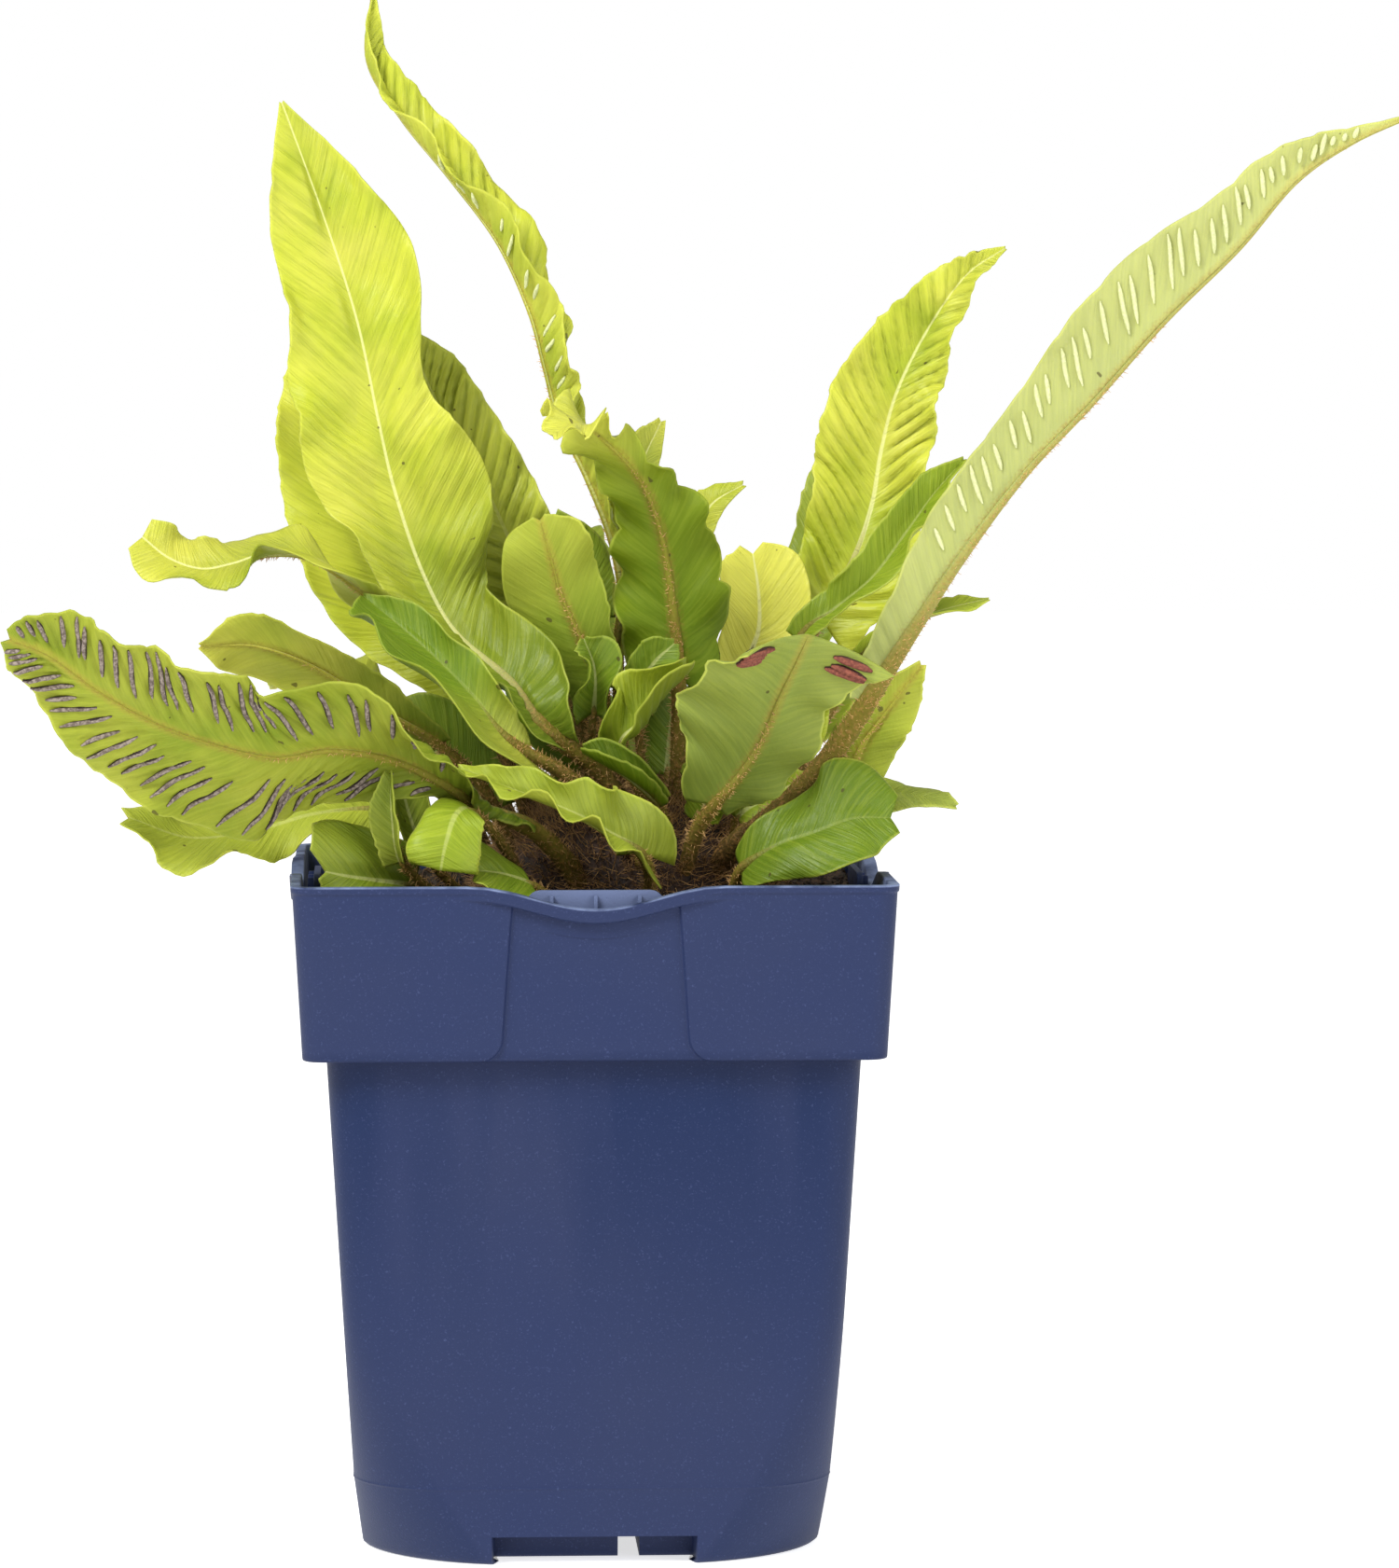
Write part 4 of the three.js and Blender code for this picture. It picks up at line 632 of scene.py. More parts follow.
    dict(name="pale_right", green="dull", stem=1.1, cup=[8], roll=[-20], ear=40, wave=0.9, waves=2,
         tone=[0.1, 0.2],
         path=[[29, 3, 117], [38, -3, 134], [48, -9, 143], [52, -11, 150], [57, -13, 157], [62, -15, 164]],
         face=[[0, 1, 0.2]], left=[6, 7, 5, 1]),
    dict(name="pointed_right", green="dull", stem=1, cup=[10], roll=[-40], ear=20, wave=1.4, yellow=-0.2,
         tone=[-0.2],
         path=[[30, -2, 117], [41, -9, 131], [49, -15, 138], [55, -18, 140], [61, -19, 140],
         [68, -20, 138]],
         face=[[0, -0.7, 0.7]], left=[4, 5, 4, 0.8], right=[4, 4, 3, 0.8]),
    dict(name="tip_right", green="mid", stem=1, cup=[10], ear=10, wave=0.8,
         path=[[31, 8, 117], [42, 7, 145], [52, 6, 164], [61, 5, 171], [68, 4, 173.5], [76, 4, 175.5]],
         face=[[0, -0.3, 0.95]], left=[4, 5, 4, 0.8]),
    dict(name="low_right", green="deep", stem=1.4, cup=[10, 14, 20], roll=[-20], ear=30, tip=70, wave=1.3,
         waves=2, yellow=0, tone=[-0.5, -0.4], ragged=0.1, ruffle=0.2,
         path=[[26, -15, 117], [27, -21, 122], [28, -27, 127], [34, -31, 131.5], [41, -32.5, 134],
         [48, -32.5, 136.5], [55, -32, 136.5]],
         face=[[-0.1, -0.8, 0.6]], left=[4, 8, 12, 12, 5], right=[5, 9, 11, 9, 4]),
    dict(name="bright_right", green="fresh", stem=0.9, cup=[12], ear=20, wave=0.7,
         path=[[24, -3, 117], [26, -6, 127], [28, -9, 135], [34, -10, 139], [41, -11, 143]],
         face=[[-0.2, -0.8, 0.5]], left=[4, 5, 1]),
    dict(name="round_right", green="fresh", stem=1.1, cup=[8], roll=[20], ear=50, wave=0.8, yellow=1,
         tone=[1], ruffle=0.2,
         path=[[25, 6, 117], [29, 8, 146], [31, 9, 163], [33, 10, 170], [33, 11, 177], [32, 12, 184]],
         face=[[0, -1, 0.1]], left=[6, 9, 9, 3], right=[6, 11, 10, 3]),
    dict(name="back_1", green="mid", stem=1.4, cup=[14], roll=[-20], ear=60, wave=1.5, waves=3,
         path=[[-6, 16, 117], [-15, 25, 148], [-22, 31, 165], [-32, 38, 190], [-40, 44, 212],
         [-50, 50, 228]],
         face=[[0.3, -0.8, 0.5]], left=[7, 11, 9, 0.8]),
    dict(name="back_2", green="deep", stem=1.4, cup=[14], roll=[-30], ear=60, wave=1.5, waves=3,
         path=[[2, 18, 117], [0, 28, 148], [-1, 36, 165], [-3, 50, 180], [-5, 66, 186], [-6, 82, 180]],
         face=[[0, -0.8, 0.6], [0, -0.3, 1], [0, 0.2, 1]], left=[7, 11, 9, 0.8]),
    dict(name="back_3", green="mid", stem=1.4, cup=[14], roll=[-30], ear=60, wave=1.5, waves=3,
         path=[[14, 20, 117], [16, 30, 148], [18, 40, 165], [20, 54, 176], [21, 72, 172]],
         face=[[0, -0.8, 0.6], [0, -0.2, 1], [0, 0.3, 1]], left=[7, 10, 0.8]),
    dict(name="back_4", green="deep", stem=1.4, cup=[14], roll=[-20], ear=60, wave=1.5, waves=3,
         path=[[26, 18, 117], [35, 26, 148], [42, 32, 168], [50, 38, 190], [56, 42, 210], [62, 44, 226]],
         face=[[-0.3, -0.8, 0.5]], left=[7, 9, 8, 0.8]),
    dict(name="back_5", green="mid", stem=1.3, cup=[14], roll=[-30], ear=60, wave=1.5, waves=3,
         path=[[32, 14, 117], [38, 22, 138], [44, 33, 150], [50, 46, 158], [54, 60, 158], [56, 76, 150]],
         face=[[-0.2, -0.5, 0.8], [0, 0, 1], [0.1, 0.3, 1]], left=[6, 9, 8, 0.8]),
    dict(name="back_6", green="fresh", stem=1.3, cup=[14], roll=[-30], ear=60, wave=1.5, waves=3,
         path=[[-14, 12, 117], [-24, 19, 138], [-34, 27, 150], [-46, 38, 160], [-54, 50, 162],
         [-60, 64, 156]],
         face=[[0.2, -0.5, 0.8], [0, 0, 1], [-0.1, 0.3, 1]], left=[6, 9, 8, 0.8]),
    dict(name="back_7", green="mid", stem=1.2, cup=[14], roll=[-40], ear=60, wave=1.3, waves=2,
         path=[[7, 22, 117], [7, 34, 134], [7, 46, 144], [7, 62, 147], [8, 80, 138]],
         face=[[0, -0.3, 1], [0, 0.2, 1]], left=[6, 8, 0.8]),
    dict(name="back_8", green="mid", stem=1.2, cup=[14], roll=[-40], ear=60, wave=1.3, waves=2,
         path=[[20, 22, 117], [26, 34, 136], [31, 46, 146], [35, 62, 148], [38, 78, 141]],
         face=[[0, -0.3, 1], [0, 0.2, 1]], left=[6, 8, 0.8]),
    dict(name="back_9", green="deep", stem=1.2, cup=[14], roll=[-40], ear=60, wave=1.3, waves=2,
         path=[[-8, 20, 117], [-16, 33, 138], [-22, 44, 148], [-28, 58, 151], [-33, 74, 144]],
         face=[[0, -0.3, 1], [0, 0.2, 1]], left=[6, 8, 0.8]),
)]


# ---------------------------------------------------------------- the form of a frond


def blade_start(frond):
    return frond["blade"] / (len(frond["path"]) - 1)


def frames(frond, place):
    """The rib's points, its directions, the way the upper side faces, and the right-hand side, at places
    from 0, the root, to 1, the tip."""
    path = frond["path"]
    step = 0.002
    start = blade_start(frond)
    along = unit(smooth(path, np.minimum(place + step, 1)) - smooth(path, np.maximum(place - step, 0)))
    up = smooth(frond["face"], (place - start) / (1 - start))
    up = unit(up - (up * along).sum(-1, keepdims=True) * along)
    return smooth(path, place), along, up, np.cross(along, up)


def blade_sheet(frond, order, t, s):
    """Points of the blade's middle surface, and the width there: t runs from its base to its tip and s from
    -1 to 1 across it, as arrays of one shape."""
    start = blade_start(frond)
    point, along, up, side = frames(frond, start + t * (1 - start))
    turn = np.where(s < 0, -1.0, 1.0)
    share = np.abs(s)
    width = np.maximum(np.where(s < 0, smooth(frond["left"], t), smooth(frond["right"], t)), 0.5)
    sweep = SLANT["middle"] - (SLANT["middle"] - frond["tip"]) * t
    slant = np.radians(sweep + frond["ear"] * np.exp(-t / SLANT["fade"]))
    cup = np.radians(smooth(frond["cup"], t))
    roll = np.radians(smooth(frond["roll"], t))
    bend = np.where(np.abs(roll) < 1e-3, 1e-3, roll)
    angle = cup + bend * share
    out = width * np.sin(slant) * (np.sin(angle) - np.sin(cup)) / bend
    lift = width * np.sin(slant) * (np.cos(cup) - np.cos(angle)) / bend
    ahead = width * share * np.cos(slant)
    fade = np.minimum(np.minimum(1, 0.3 + 6 * t), 0.1 + 5 * (1 - t))
    phase = 2 * np.pi * frond["waves"] * t + order * 2.4 + turn * 0.8
    rise = frond["wave"] * s * s * np.sin(phase) * fade
    normal = (-turn * np.sin(angle))[..., None] * side + np.cos(angle)[..., None] * up
    spot = point + ahead[..., None] * along + (turn * out)[..., None] * side + lift[..., None] * up
    return spot + rise[..., None] * normal, width


def surface_normals(points):
    across = np.gradient(points, axis=1)
    down = np.gradient(points, axis=0)
    return unit(np.cross(across, down))


def margin_trim(frond, order, t, s):
    """How far the ragged and scalloped margin reaches, as a share of the blade's width."""
    rng = np.random.default_rng(MARGIN_SEED + order)
    wander = rng.normal(size=(2, 60)).cumsum(1) * 0.1
    wander -= wander.mean(1, keepdims=True)
    jag = np.where(s < 0, smooth(wander[0] + rng.normal(size=60) * 0.5, t), smooth(wander[1], t))
    depth, count = frond["scallop"]
    teeth = np.abs(np.sin(np.pi * count * t + np.where(s < 0, 0.9, 0))) ** 0.6 - 0.7
    width = np.maximum(blade_sheet(frond, order, t, s)[1], 3)
    trim = 1 + (frond["ragged"] * jag + depth * teeth) / width * np.minimum(1, 8 * (1 - t))
    return np.minimum(trim, 1.12)


def fine_relief(frond, order, across, along, width, t, s, pitch):
    """The broad ridges' height from -1 to 1, and the height in mm of ridges, dents and ruffles together,
    which fades where the blade is narrow."""
    share = np.abs(s)
    lean = along - VEIN_LEAN * np.abs(across)
    ridge = np.sin(2 * np.pi * lean / pitch + 0.9 * np.sin(lean / 5.1 + order))
    hold = ease((share - 0.06) / 0.2) * ease((1.02 - share) / 0.25) * ease(t / 0.05) * ease((1 - t) / 0.06)
    swing = along / 2.1 + 1.7 * np.sin(along / 9.7 + order) + 2 * (s < 0)
    swing = np.sin(swing) + 0.45 * np.sin(along / 0.85 + 2.3 * np.sin(along / 6.1) + order)
    dents = np.sin(across / 3.9 + 1.9 * np.sin(along / 8.3 + order)) * np.sin(along / 5.7)
    lift = hold * (frond["pleat"] * ridge + frond["dimple"] * dents)
    lift = (lift + frond["ruffle"] * share ** 4 * swing * ease((1 - t) / 0.1)) * ease(width / 9)
    return ridge * hold, lift


def blade_grid(frond, order, leaves):
    """A fine grid of the blade's middle surface with its relief and its ragged margin, and what its paint
    reads: mm across from the rib, mm along, mm to the margin, the ridges' height and t."""
    step = leaves.step / MM
    length = length_of(frond["path"], blade_start(frond), 1, 200)
    rows = max(int(length / step), 24)
    columns = max(int(1.4 * (max(frond["left"]) + max(frond["right"])) / step), 18) // 2
    half = np.linspace(0, 1, columns + 1)[1:]
    s = np.concatenate([-half[::-1], [0], half])
    t, s = np.meshgrid((np.arange(rows + 1) / rows) ** 1.25, s, indexing="ij")
    points, width = blade_sheet(frond, order, t, s * margin_trim(frond, order, t, s))
    across = width * s
    along = t * length
    ridge, lift = fine_relief(frond, order, across, along, width, t, s, leaves.pleat_pitch / MM)
    points = points + lift[..., None] * surface_normals(points)
    return points, across, along, width * (1 - np.abs(s)), ridge * min(1, frond["pleat"] / 0.6), t


def blade_mesh(frond, order, leaves):
    """The closed blade: its upper side, its underside and the thin margin between them. Its paint reads three
    vectors: mm across, mm along and mm to the margin; 0 above or 1 below, how bare of blade, and how yellow;
    the ridges' height, the rib's half width and t."""
    points, across, along, edge, ridge, t = blade_grid(frond, order, leaves)
    rows, columns = t.shape
    count = rows * columns
    thick = leaves.thick / MM * (1 - 0.55 * (1 - np.clip(edge / 2.5, 0, 1)) ** 2)
    rise = surface_normals(points) * (thick / 2)[..., None]
    faces = grid_faces(rows, columns)
    border = np.concatenate([np.arange(columns - 1), columns * np.arange(rows - 1) + columns - 1,
                             count - 1 - np.arange(columns - 1), columns * np.arange(rows - 1, 0, -1)])
    after = np.roll(border, -1)
    walls = np.stack([border + count, after + count, after, border], -1)
    every = np.concatenate([faces, faces[:, ::-1] + count, walls])
    flat = lambda *values: np.stack([np.tile(np.broadcast_to(v, t.shape).ravel(), 2) for v in values], -1)
    kind = flat(0, 0, frond["yellow"]).astype(float)
    kind[count:, 0] = 1
    both = np.concatenate([(points + rise).reshape(-1, 3), (points - rise).reshape(-1, 3)])
    return both, every.tolist(), flat(across, along, edge), kind, flat(ridge, 0.18 + 0.42 * (1 - t), t)


def stalk_line(frond, place):
    """Where the stalk and the rib that carries it on run, the ways along, up and to the side, their radius,
    and how far each place is in the blade."""
    start = blade_start(frond)
    stem = frond["stem"]
    point, along, up, side = frames(frond, place)
    t = np.clip((place - start) / (1 - start), 0, 1)
    in_stalk = np.clip(place / start, 0, 1)
    least = RIB["least"]
    tail = least * np.clip((1 - t) / 0.2, 0.3, 1)
    radius = np.where(place < start, stem * (RIB["foot"] - (RIB["foot"] - RIB["end"]) * in_stalk ** 2),
                      tail + (stem * RIB["end"] - least) * (1 - t) ** RIB["taper"])
    drop = np.maximum(0.25 + 0.6 * (1 - t) - radius * 0.6, 0) * ease(t / 0.1)
    return point - drop[:, None] * up, along, up, side, radius, t


def stalk_mesh(frond, sides=12):
    """The closed stalk and the rib that carries it on, with what their paint reads, as in blade_mesh()."""
    length = length_of(frond["path"], 0, 1, 300)
    rows = max(int(length / 1.5), 20)
    place = np.linspace(0, 0.995, rows)
    centre, _, up, side, radius, t = stalk_line(frond, place)
    angle = 2 * np.pi * np.arange(sides) / sides
    knobs = 1 + 0.05 * np.sin(place[:, None] * length * 0.9 + 2 * angle) * (t[:, None] < 0.02)
    spoke = np.cos(angle)[None, :, None] * up[:, None] + np.sin(angle)[None, :, None] * side[:, None]
    ring = centre[:, None] + spoke * (radius[:, None] * knobs)[..., None]
    points, faces = closed_grid(ring, centre[0], centre[-1])
    under = np.concatenate([np.tile((1 - np.cos(angle)) / 2, rows), [0.5, 0.5]])
    spread = lambda values: np.concatenate([np.repeat(values, sides), values[:1], values[-1:]])
    bare = spread(np.clip(1 - t / 0.3, 0, 1))
    share = spread(np.clip(place / blade_start(frond), 0, 1))
    none = np.zeros(len(points))
    blade = np.stack([none, spread(t) * length, none + 9], -1)
    kind = np.stack([under, np.maximum(bare, under * 0.35 * frond["scaly"]), none + frond["yellow"]], -1)
    return points, faces, blade, kind, np.stack([none, none + 9, share], -1)


def frond_piece(frond, order, leaves, paint):
    points, faces, *read = blade_mesh(frond, order, leaves)
    stalk_points, stalk_faces, *stalk_read = stalk_mesh(frond)
    blade, kind, relief = (np.concatenate(pair) for pair in zip(read, stalk_read))
    faces = faces + [[a + len(points) for a in face] for face in stalk_faces]
    along = stalk_read[0][:, 1]
    tone = smooth(frond["tone"], np.concatenate([read[2][:, 2], along / along.max()]))
    return mesh_piece(f"leaf_{frond['name']}", np.concatenate([points, stalk_points]), faces, paint,
                      blade=blade, kind=kind, relief=relief, tone=tone)


# ---------------------------------------------------------------- scales and spore cases


def stalk_scales(frond, order, scales):
    """Short lines that stand out of a stalk and, shorter and fewer, out of the rib below."""
    rng = np.random.default_rng(scales.seed + order)
    start = blade_start(frond)
    length = length_of(frond["path"], 0, start, 60)
    on_stalk = int(length * scales.count * frond["shaggy"])
    on_rib = int(length * scales.count * 0.5 * frond["scaly"])
    stalk_place = start * rng.random(on_stalk)
    place = np.concatenate([stalk_place, start + (1 - start) * 0.55 * rng.random(on_rib) ** 1.6])
    angle = 2 * np.pi * rng.random(len(place))
    angle[on_stalk:] = np.pi + rng.uniform(-1.1, 1.1, on_rib)
    centre, along, up, side, radius, t = stalk_line(frond, place)
    spoke = np.cos(angle)[:, None] * up + np.sin(angle)[:, None] * side
    reach = scales.length / MM * rng.uniform(0.35, 1, len(place))
    reach = reach * np.where(t > 0, 0.4, 1 - 0.5 * place / start)
    lean = along * rng.uniform(0.1, 0.9, len(place))[:, None] + rng.normal(size=(len(place), 3)) * 0.45
    root = centre + spoke * (radius * 0.9)[:, None]
    return np.stack([root, root + unit(spoke + lean) * reach[:, None]], 1), np.clip(place / start, 0, 2)


def crown_scales(scales, count=8000):
    rng = np.random.default_rng(scales.seed)
    turn = 2 * np.pi * rng.random(count)
    height = rng.uniform(0.05, 1, count)
    flat = np.sqrt(1 - height ** 2)
    out = np.stack([flat * np.cos(turn), flat * np.sin(turn), height], -1)
    root = CROWN_MIDDLE + out * CROWN_HALVES
    way = unit(out + rng.normal(size=out.shape) * 0.6)
    reach = rng.uniform(1, 5, count)[:, None]
    return np.stack([root - out * 0.3, root + way * reach], 1), rng.uniform(0, 0.7, count)


def on_grid(grid, row, column):
    """Values of a grid of points between its rows and columns."""
    i = np.minimum(row.astype(int), grid.shape[0] - 2)
    j = np.minimum(column.astype(int), grid.shape[1] - 2)
    down, over = (row - i)[:, None], (column - j)[:, None]
    near = grid[i, j] * (1 - over) + grid[i, j + 1] * over
    far = grid[i + 1, j] * (1 - over) + grid[i + 1, j + 1] * over
    return near * (1 - down) + far * down


def sori_lines(frond, order, leaves):
    """The middle line of each spore case, along the veins of the underside, and the way down from it."""
    spec = frond["sori"]
    length = length_of(frond["path"], blade_start(frond), 1, 200)
    rng = np.random.default_rng(SORI_SEED + order)
    sheet = blade_grid(frond, order, leaves)[0]
    normals = surface_normals(sheet)
    low, high = spec["stretch"]
    lines = []
    for turn, count in zip((-1, 1), spec["count"]):
        spots = np.arange(count) + 0.5 + rng.uniform(-0.25, 0.25, count)
        for t in low + (high - low) * spots / max(count, 1):
            first, last = spec["reach"] + rng.uniform(-0.12, 0.08, 2)
            share = np.linspace(first, min(last, 0.93), 7)
            ahead = (share - first) * SORI_LEAN / length
            row = np.clip(t + ahead, 0, 1) ** 0.8 * (sheet.shape[0] - 1)
            column = (1 + turn * share) / 2 * (sheet.shape[1] - 1)
            below = -on_grid(normals, row, column)
            lines.append([on_grid(sheet, row, column) + below * (leaves.thick / MM / 2 + 0.1), below])
    return np.array(lines).swapaxes(0, 1)


# ---------------------------------------------------------------- pot


def square_ring(half, corner, crease, spots):
    """Points and outward normals on the front half-side of a square with bowed corners, at distances from
    its middle. A crease, an angle, parts the flat side from the bow."""
    straight = half - corner
    radius = corner / (math.cos(crease) - math.sin(crease))
    over = spots - straight
    turn = np.where(over > 0, crease + over / radius, 0)
    x = np.where(over > 0, straight + radius * (np.sin(turn) - math.sin(crease)), spots)
    y = np.where(over > 0, radius * (math.cos(crease) - np.cos(turn)), 0) - half
    return x, y, np.sin(turn), -np.cos(turn)


def body_at(z):
    """Half width, corner size and crease of the pot's body at a height."""
    low = POT["foot_half"] + (POT["line_half"] - POT["foot_half"]) * z / POT["line_height"]
    climb = (z - POT["line_height"]) / (POT["band_foot"] - POT["line_height"])
    high = POT["line_half"] + (POT["body_half"] - POT["line_half"]) * climb
    share = min(max(1 - z / POT["crease_top"], 0), 1) ** 1.6
    corner = POT["body_corner"] + (POT["foot_corner"] - POT["body_corner"]) * share
    return (low if z < POT["line_height"] else high), corner, math.radians(POT["crease"]) * share


def up_band(z):
    """0 at the foot of the pot's band, 1 at its top."""
    return (z - POT["band_foot"]) / (POT["height"] - POT["band_foot"])


def band_at(z):
    return POT["band_half"] + (POT["rim_half"] - POT["band_half"]) * up_band(z), POT["band_corner"], 0


def panel_edge(z):
    """How far from a side's middle the panel's edge runs at a height: down the band, round the panel's lower
    corner, and from there on the line of the notch in the foot."""
    foot = POT["band_foot"]
    corner = RECESS["corner"]
    if z >= foot:
        edge = RECESS["foot"] + (RECESS["top"] - RECESS["foot"]) * up_band(z)
        low = max(foot + corner - z, 0)
        return edge + corner - math.sqrt(max(corner ** 2 - low ** 2, 0))
    rise = np.clip((z - NOTCH["height"]) / (foot - NOTCH["height"]), 0, 1)
    return NOTCH["half"] + (RECESS["foot"] + corner - NOTCH["half"]) * ease(rise)


def pot_spots(half, corner, crease, edge):
    """Distances from a side's middle to its corner, close together at the panel's edge and at the corner."""
    straight = half - corner
    end = straight + corner / (math.cos(crease) - math.sin(crease)) * (np.pi / 4 - crease)
    bend = max(straight, edge + 1.4)
    near = edge + np.array([-0.36, -0.24, -0.12, 0, 0.12, 0.24, 0.36])
    return np.concatenate([np.linspace(0, edge - 0.8, 14), near, np.linspace(edge + 0.8, bend, 10),
                           np.linspace(bend, end, 11)[1:]])


def scoop_drop(x):
    near = np.clip(np.abs(x) / SCOOP["half"], 0, 1)
    return SCOOP["depth"] * 0.5 * (1 + np.cos(np.pi * near))


def pot_row(base, level, push, scooped=False, spots_at=None):
    """One level row of the pot's surface, all the way round. base gives half width, corner size and crease
    at a height. push is how far the row stands out, as a number or a function. A scooped row keeps one depth
    under the rim's own edge. spots_at is the height whose spread of points is used, if not the row's."""
    half, corner, crease = base(level)
    edge = panel_edge(level if spots_at is None else spots_at)
    spots = pot_spots(half, corner, crease, edge)
    x, y, nx, ny = square_ring(half, corner, crease, spots)
    scoop = scoop_drop(x)
    height = level - scoop * (1 if scooped else max(up_band(level), 0) ** 3)
    if callable(push):
        push = push(x, height, ease(0.5 + (spots - edge) / 0.6), POT["height"] - scoop - height)
    half_side = np.stack([x + nx * push, y + ny * push, height], -1)
    mirror = half_side[:0:-1] * np.array([-1, 1, 1])
    side = np.concatenate([mirror, half_side[:-1]])
    quarters = ((1, 0), (0, 1), (-1, 0), (0, -1))
    return np.concatenate([side @ np.array([[c, s, 0], [-s, c, 0], [0, 0, 1]]) for c, s in quarters])


def band_push(recess):
    """How far the band's outside stands out: the rim's bead, the recess and the scoop's lip."""

    def push(x, z, panel, under_rim):
        lip = ease((SCOOP["half"] - np.abs(x)) / 5)
        bead = POT["bead"] * ease((1.5 - under_rim) / 0.25) * (1 - lip)
        bulge = SCOOP["lip_proud"] * lip * ease((SCOOP["lip"] - under_rim) / 0.3)
        sunk = (1 - panel) * (z > POT["band_foot"] - 0.01) * (1 - lip * (under_rim < SCOOP["lip"]))
        return bead - recess * sunk + bulge

    return push


def notch_push(x, z, panel, under_rim):
    return -NOTCH["depth"] * (1 - panel)


def shrunk(amount, push):
    return lambda *spot: push(*spot) - amount


def outer_rows(recess, line):
    """Rows of points from the middle of the pot's foot up the outside to its rim."""
    foot, top = POT["band_foot"], POT["height"]
    outside = band_push(recess)
    under_foot = (POT["foot_half"] - 12.5, 17, 0)
    rows = [pot_row(lambda level: under_foot, 0, 0, spots_at=0)]
    for amount, z in FOOT_ROWS:
        rows.append(pot_row(body_at, z, shrunk(amount, notch_push), spots_at=0))
    for z in (*BODY_ROWS, *np.linspace(31, foot - 2, 13), foot - 0.9, foot - 0.3, foot - 0.02):
        rows.append(pot_row(body_at, z, line * math.exp(-((z - POT["line_height"]) / 0.16) ** 2)))
    for amount, z in BAND_ROWS:
        rows.append(pot_row(band_at, foot + z, shrunk(amount, outside)))
    for z in (*(foot + 0.55 + np.arange(1, 9) * 0.45), *np.linspace(foot + 5, top - 7, 14)):
        rows.append(pot_row(band_at, z, outside))
    for depth in RIM_ROWS:
        rows.append(pot_row(band_at, top - depth, outside, scooped=True))
    return rows


def inner_rows(wall):
    """Rows of points over the rim and down the inside to the pot's floor."""
    foot, top = POT["band_foot"], POT["height"]
    rows = []
    for amount, depth in ((0.15, 0.02), (0.4, 0), (wall - 0.3, 0), (wall - 0.08, 0.08), (wall, 0.3)):
        rows.append(pot_row(band_at, top - depth, POT["bead"] - amount, scooped=True))
    for z in (top - 6, top - 9, top - 14, top - 22, foot + 2.4):
        rows.append(pot_row(band_at, z, -wall))
    for z in (foot + 1.8, 60, 30, POT["floor"]):
        rows.append(pot_row(body_at, z, -wall))
    return rows


def pot_shell(pot):
    """The pot's points and faces, and where its edge is rubbed and where its corners bow, which the paint
    darkens as painted shade.
    """
    grid = np.array(outer_rows(pot.recess / MM, pot.line / MM) + inner_rows(pot.wall / MM))
    points, faces = closed_grid(grid, [0, 0, 0], [0, 0, POT["floor"]])
    wear = np.zeros(len(points))
    bow = np.zeros(len(points))
    columns = grid.shape[1]
    for i, row in enumerate(grid):
        here = slice(i * columns, (i + 1) * columns)
        wear[here] = abs(row[0, 2] - POT["height"]) < 0.3
        half, corner, crease = body_at(row[0, 2])
        inward = np.abs(row[:, :2]).min(1) - (half - corner)
        bow[here] = ease(inward / 1.5) * crease / math.radians(POT["crease"])
    return points, faces, wear, bow


def cut_channels(shell):
    """The two drain channels under the foot."""
    width, reach, tall = DRAIN["width"], 2.4 * POT["foot_half"], 2 * NOTCH["height"]
    lengthwise = (width, reach, tall), (DRAIN["offset"], 0, 0)
    crosswise = (reach, width, tall), (0, -DRAIN["offset"] - width, 0)
    for size, middle in (lengthwise, crosswise):
        bpy.ops.mesh.primitive_cube_add(size=1)
        cutter = bpy.context.active_object
        cutter.data.transform(Matrix.Diagonal((*[side * MM for side in size], 1)))
        cutter.data.transform(Matrix.Translation([place * MM for place in middle]))
        cut = shell.modifiers.new("channel", "BOOLEAN")
        cut.operation = "DIFFERENCE"
        cut.solver = "EXACT"
        cut.object = cutter
        apply_modifier(shell, cut)
        bpy.data.objects.remove(cutter)


def slab(bm, low, high, rounding, corner=0.0):
    """An upright slab with rounded edges, its two upper corners cut to a radius."""
    (x0, y0, z0), (x1, y1, z1) = low, high
    outline = [(x0, z0), (x1, z0)]
    for quarter, x in ((0, x1 - corner), (1, x0 + corner)):
        for i in range(6 if corner else 1):
            a = np.pi / 2 * (quarter + i / 5)
            outline.append((x + corner * math.cos(a), z1 - corner + corner * math.sin(a)))
    front, back = ([bm.verts.new((x * MM, y * MM, z * MM)) for x, z in outline] for y in (y0, y1))
    faces = [bm.faces.new(front), bm.faces.new(back[::-1])]
    for i in range(len(front)):
        j = (i + 1) % len(front)
        bm.faces.new((front[i], back[i], back[j], front[j]))
    edges = {edge for face in faces for edge in face.edges}
    bmesh.ops.bevel(bm, geom=list(edges), offset=rounding * MM, segments=2, affect="EDGES", profile=0.7)


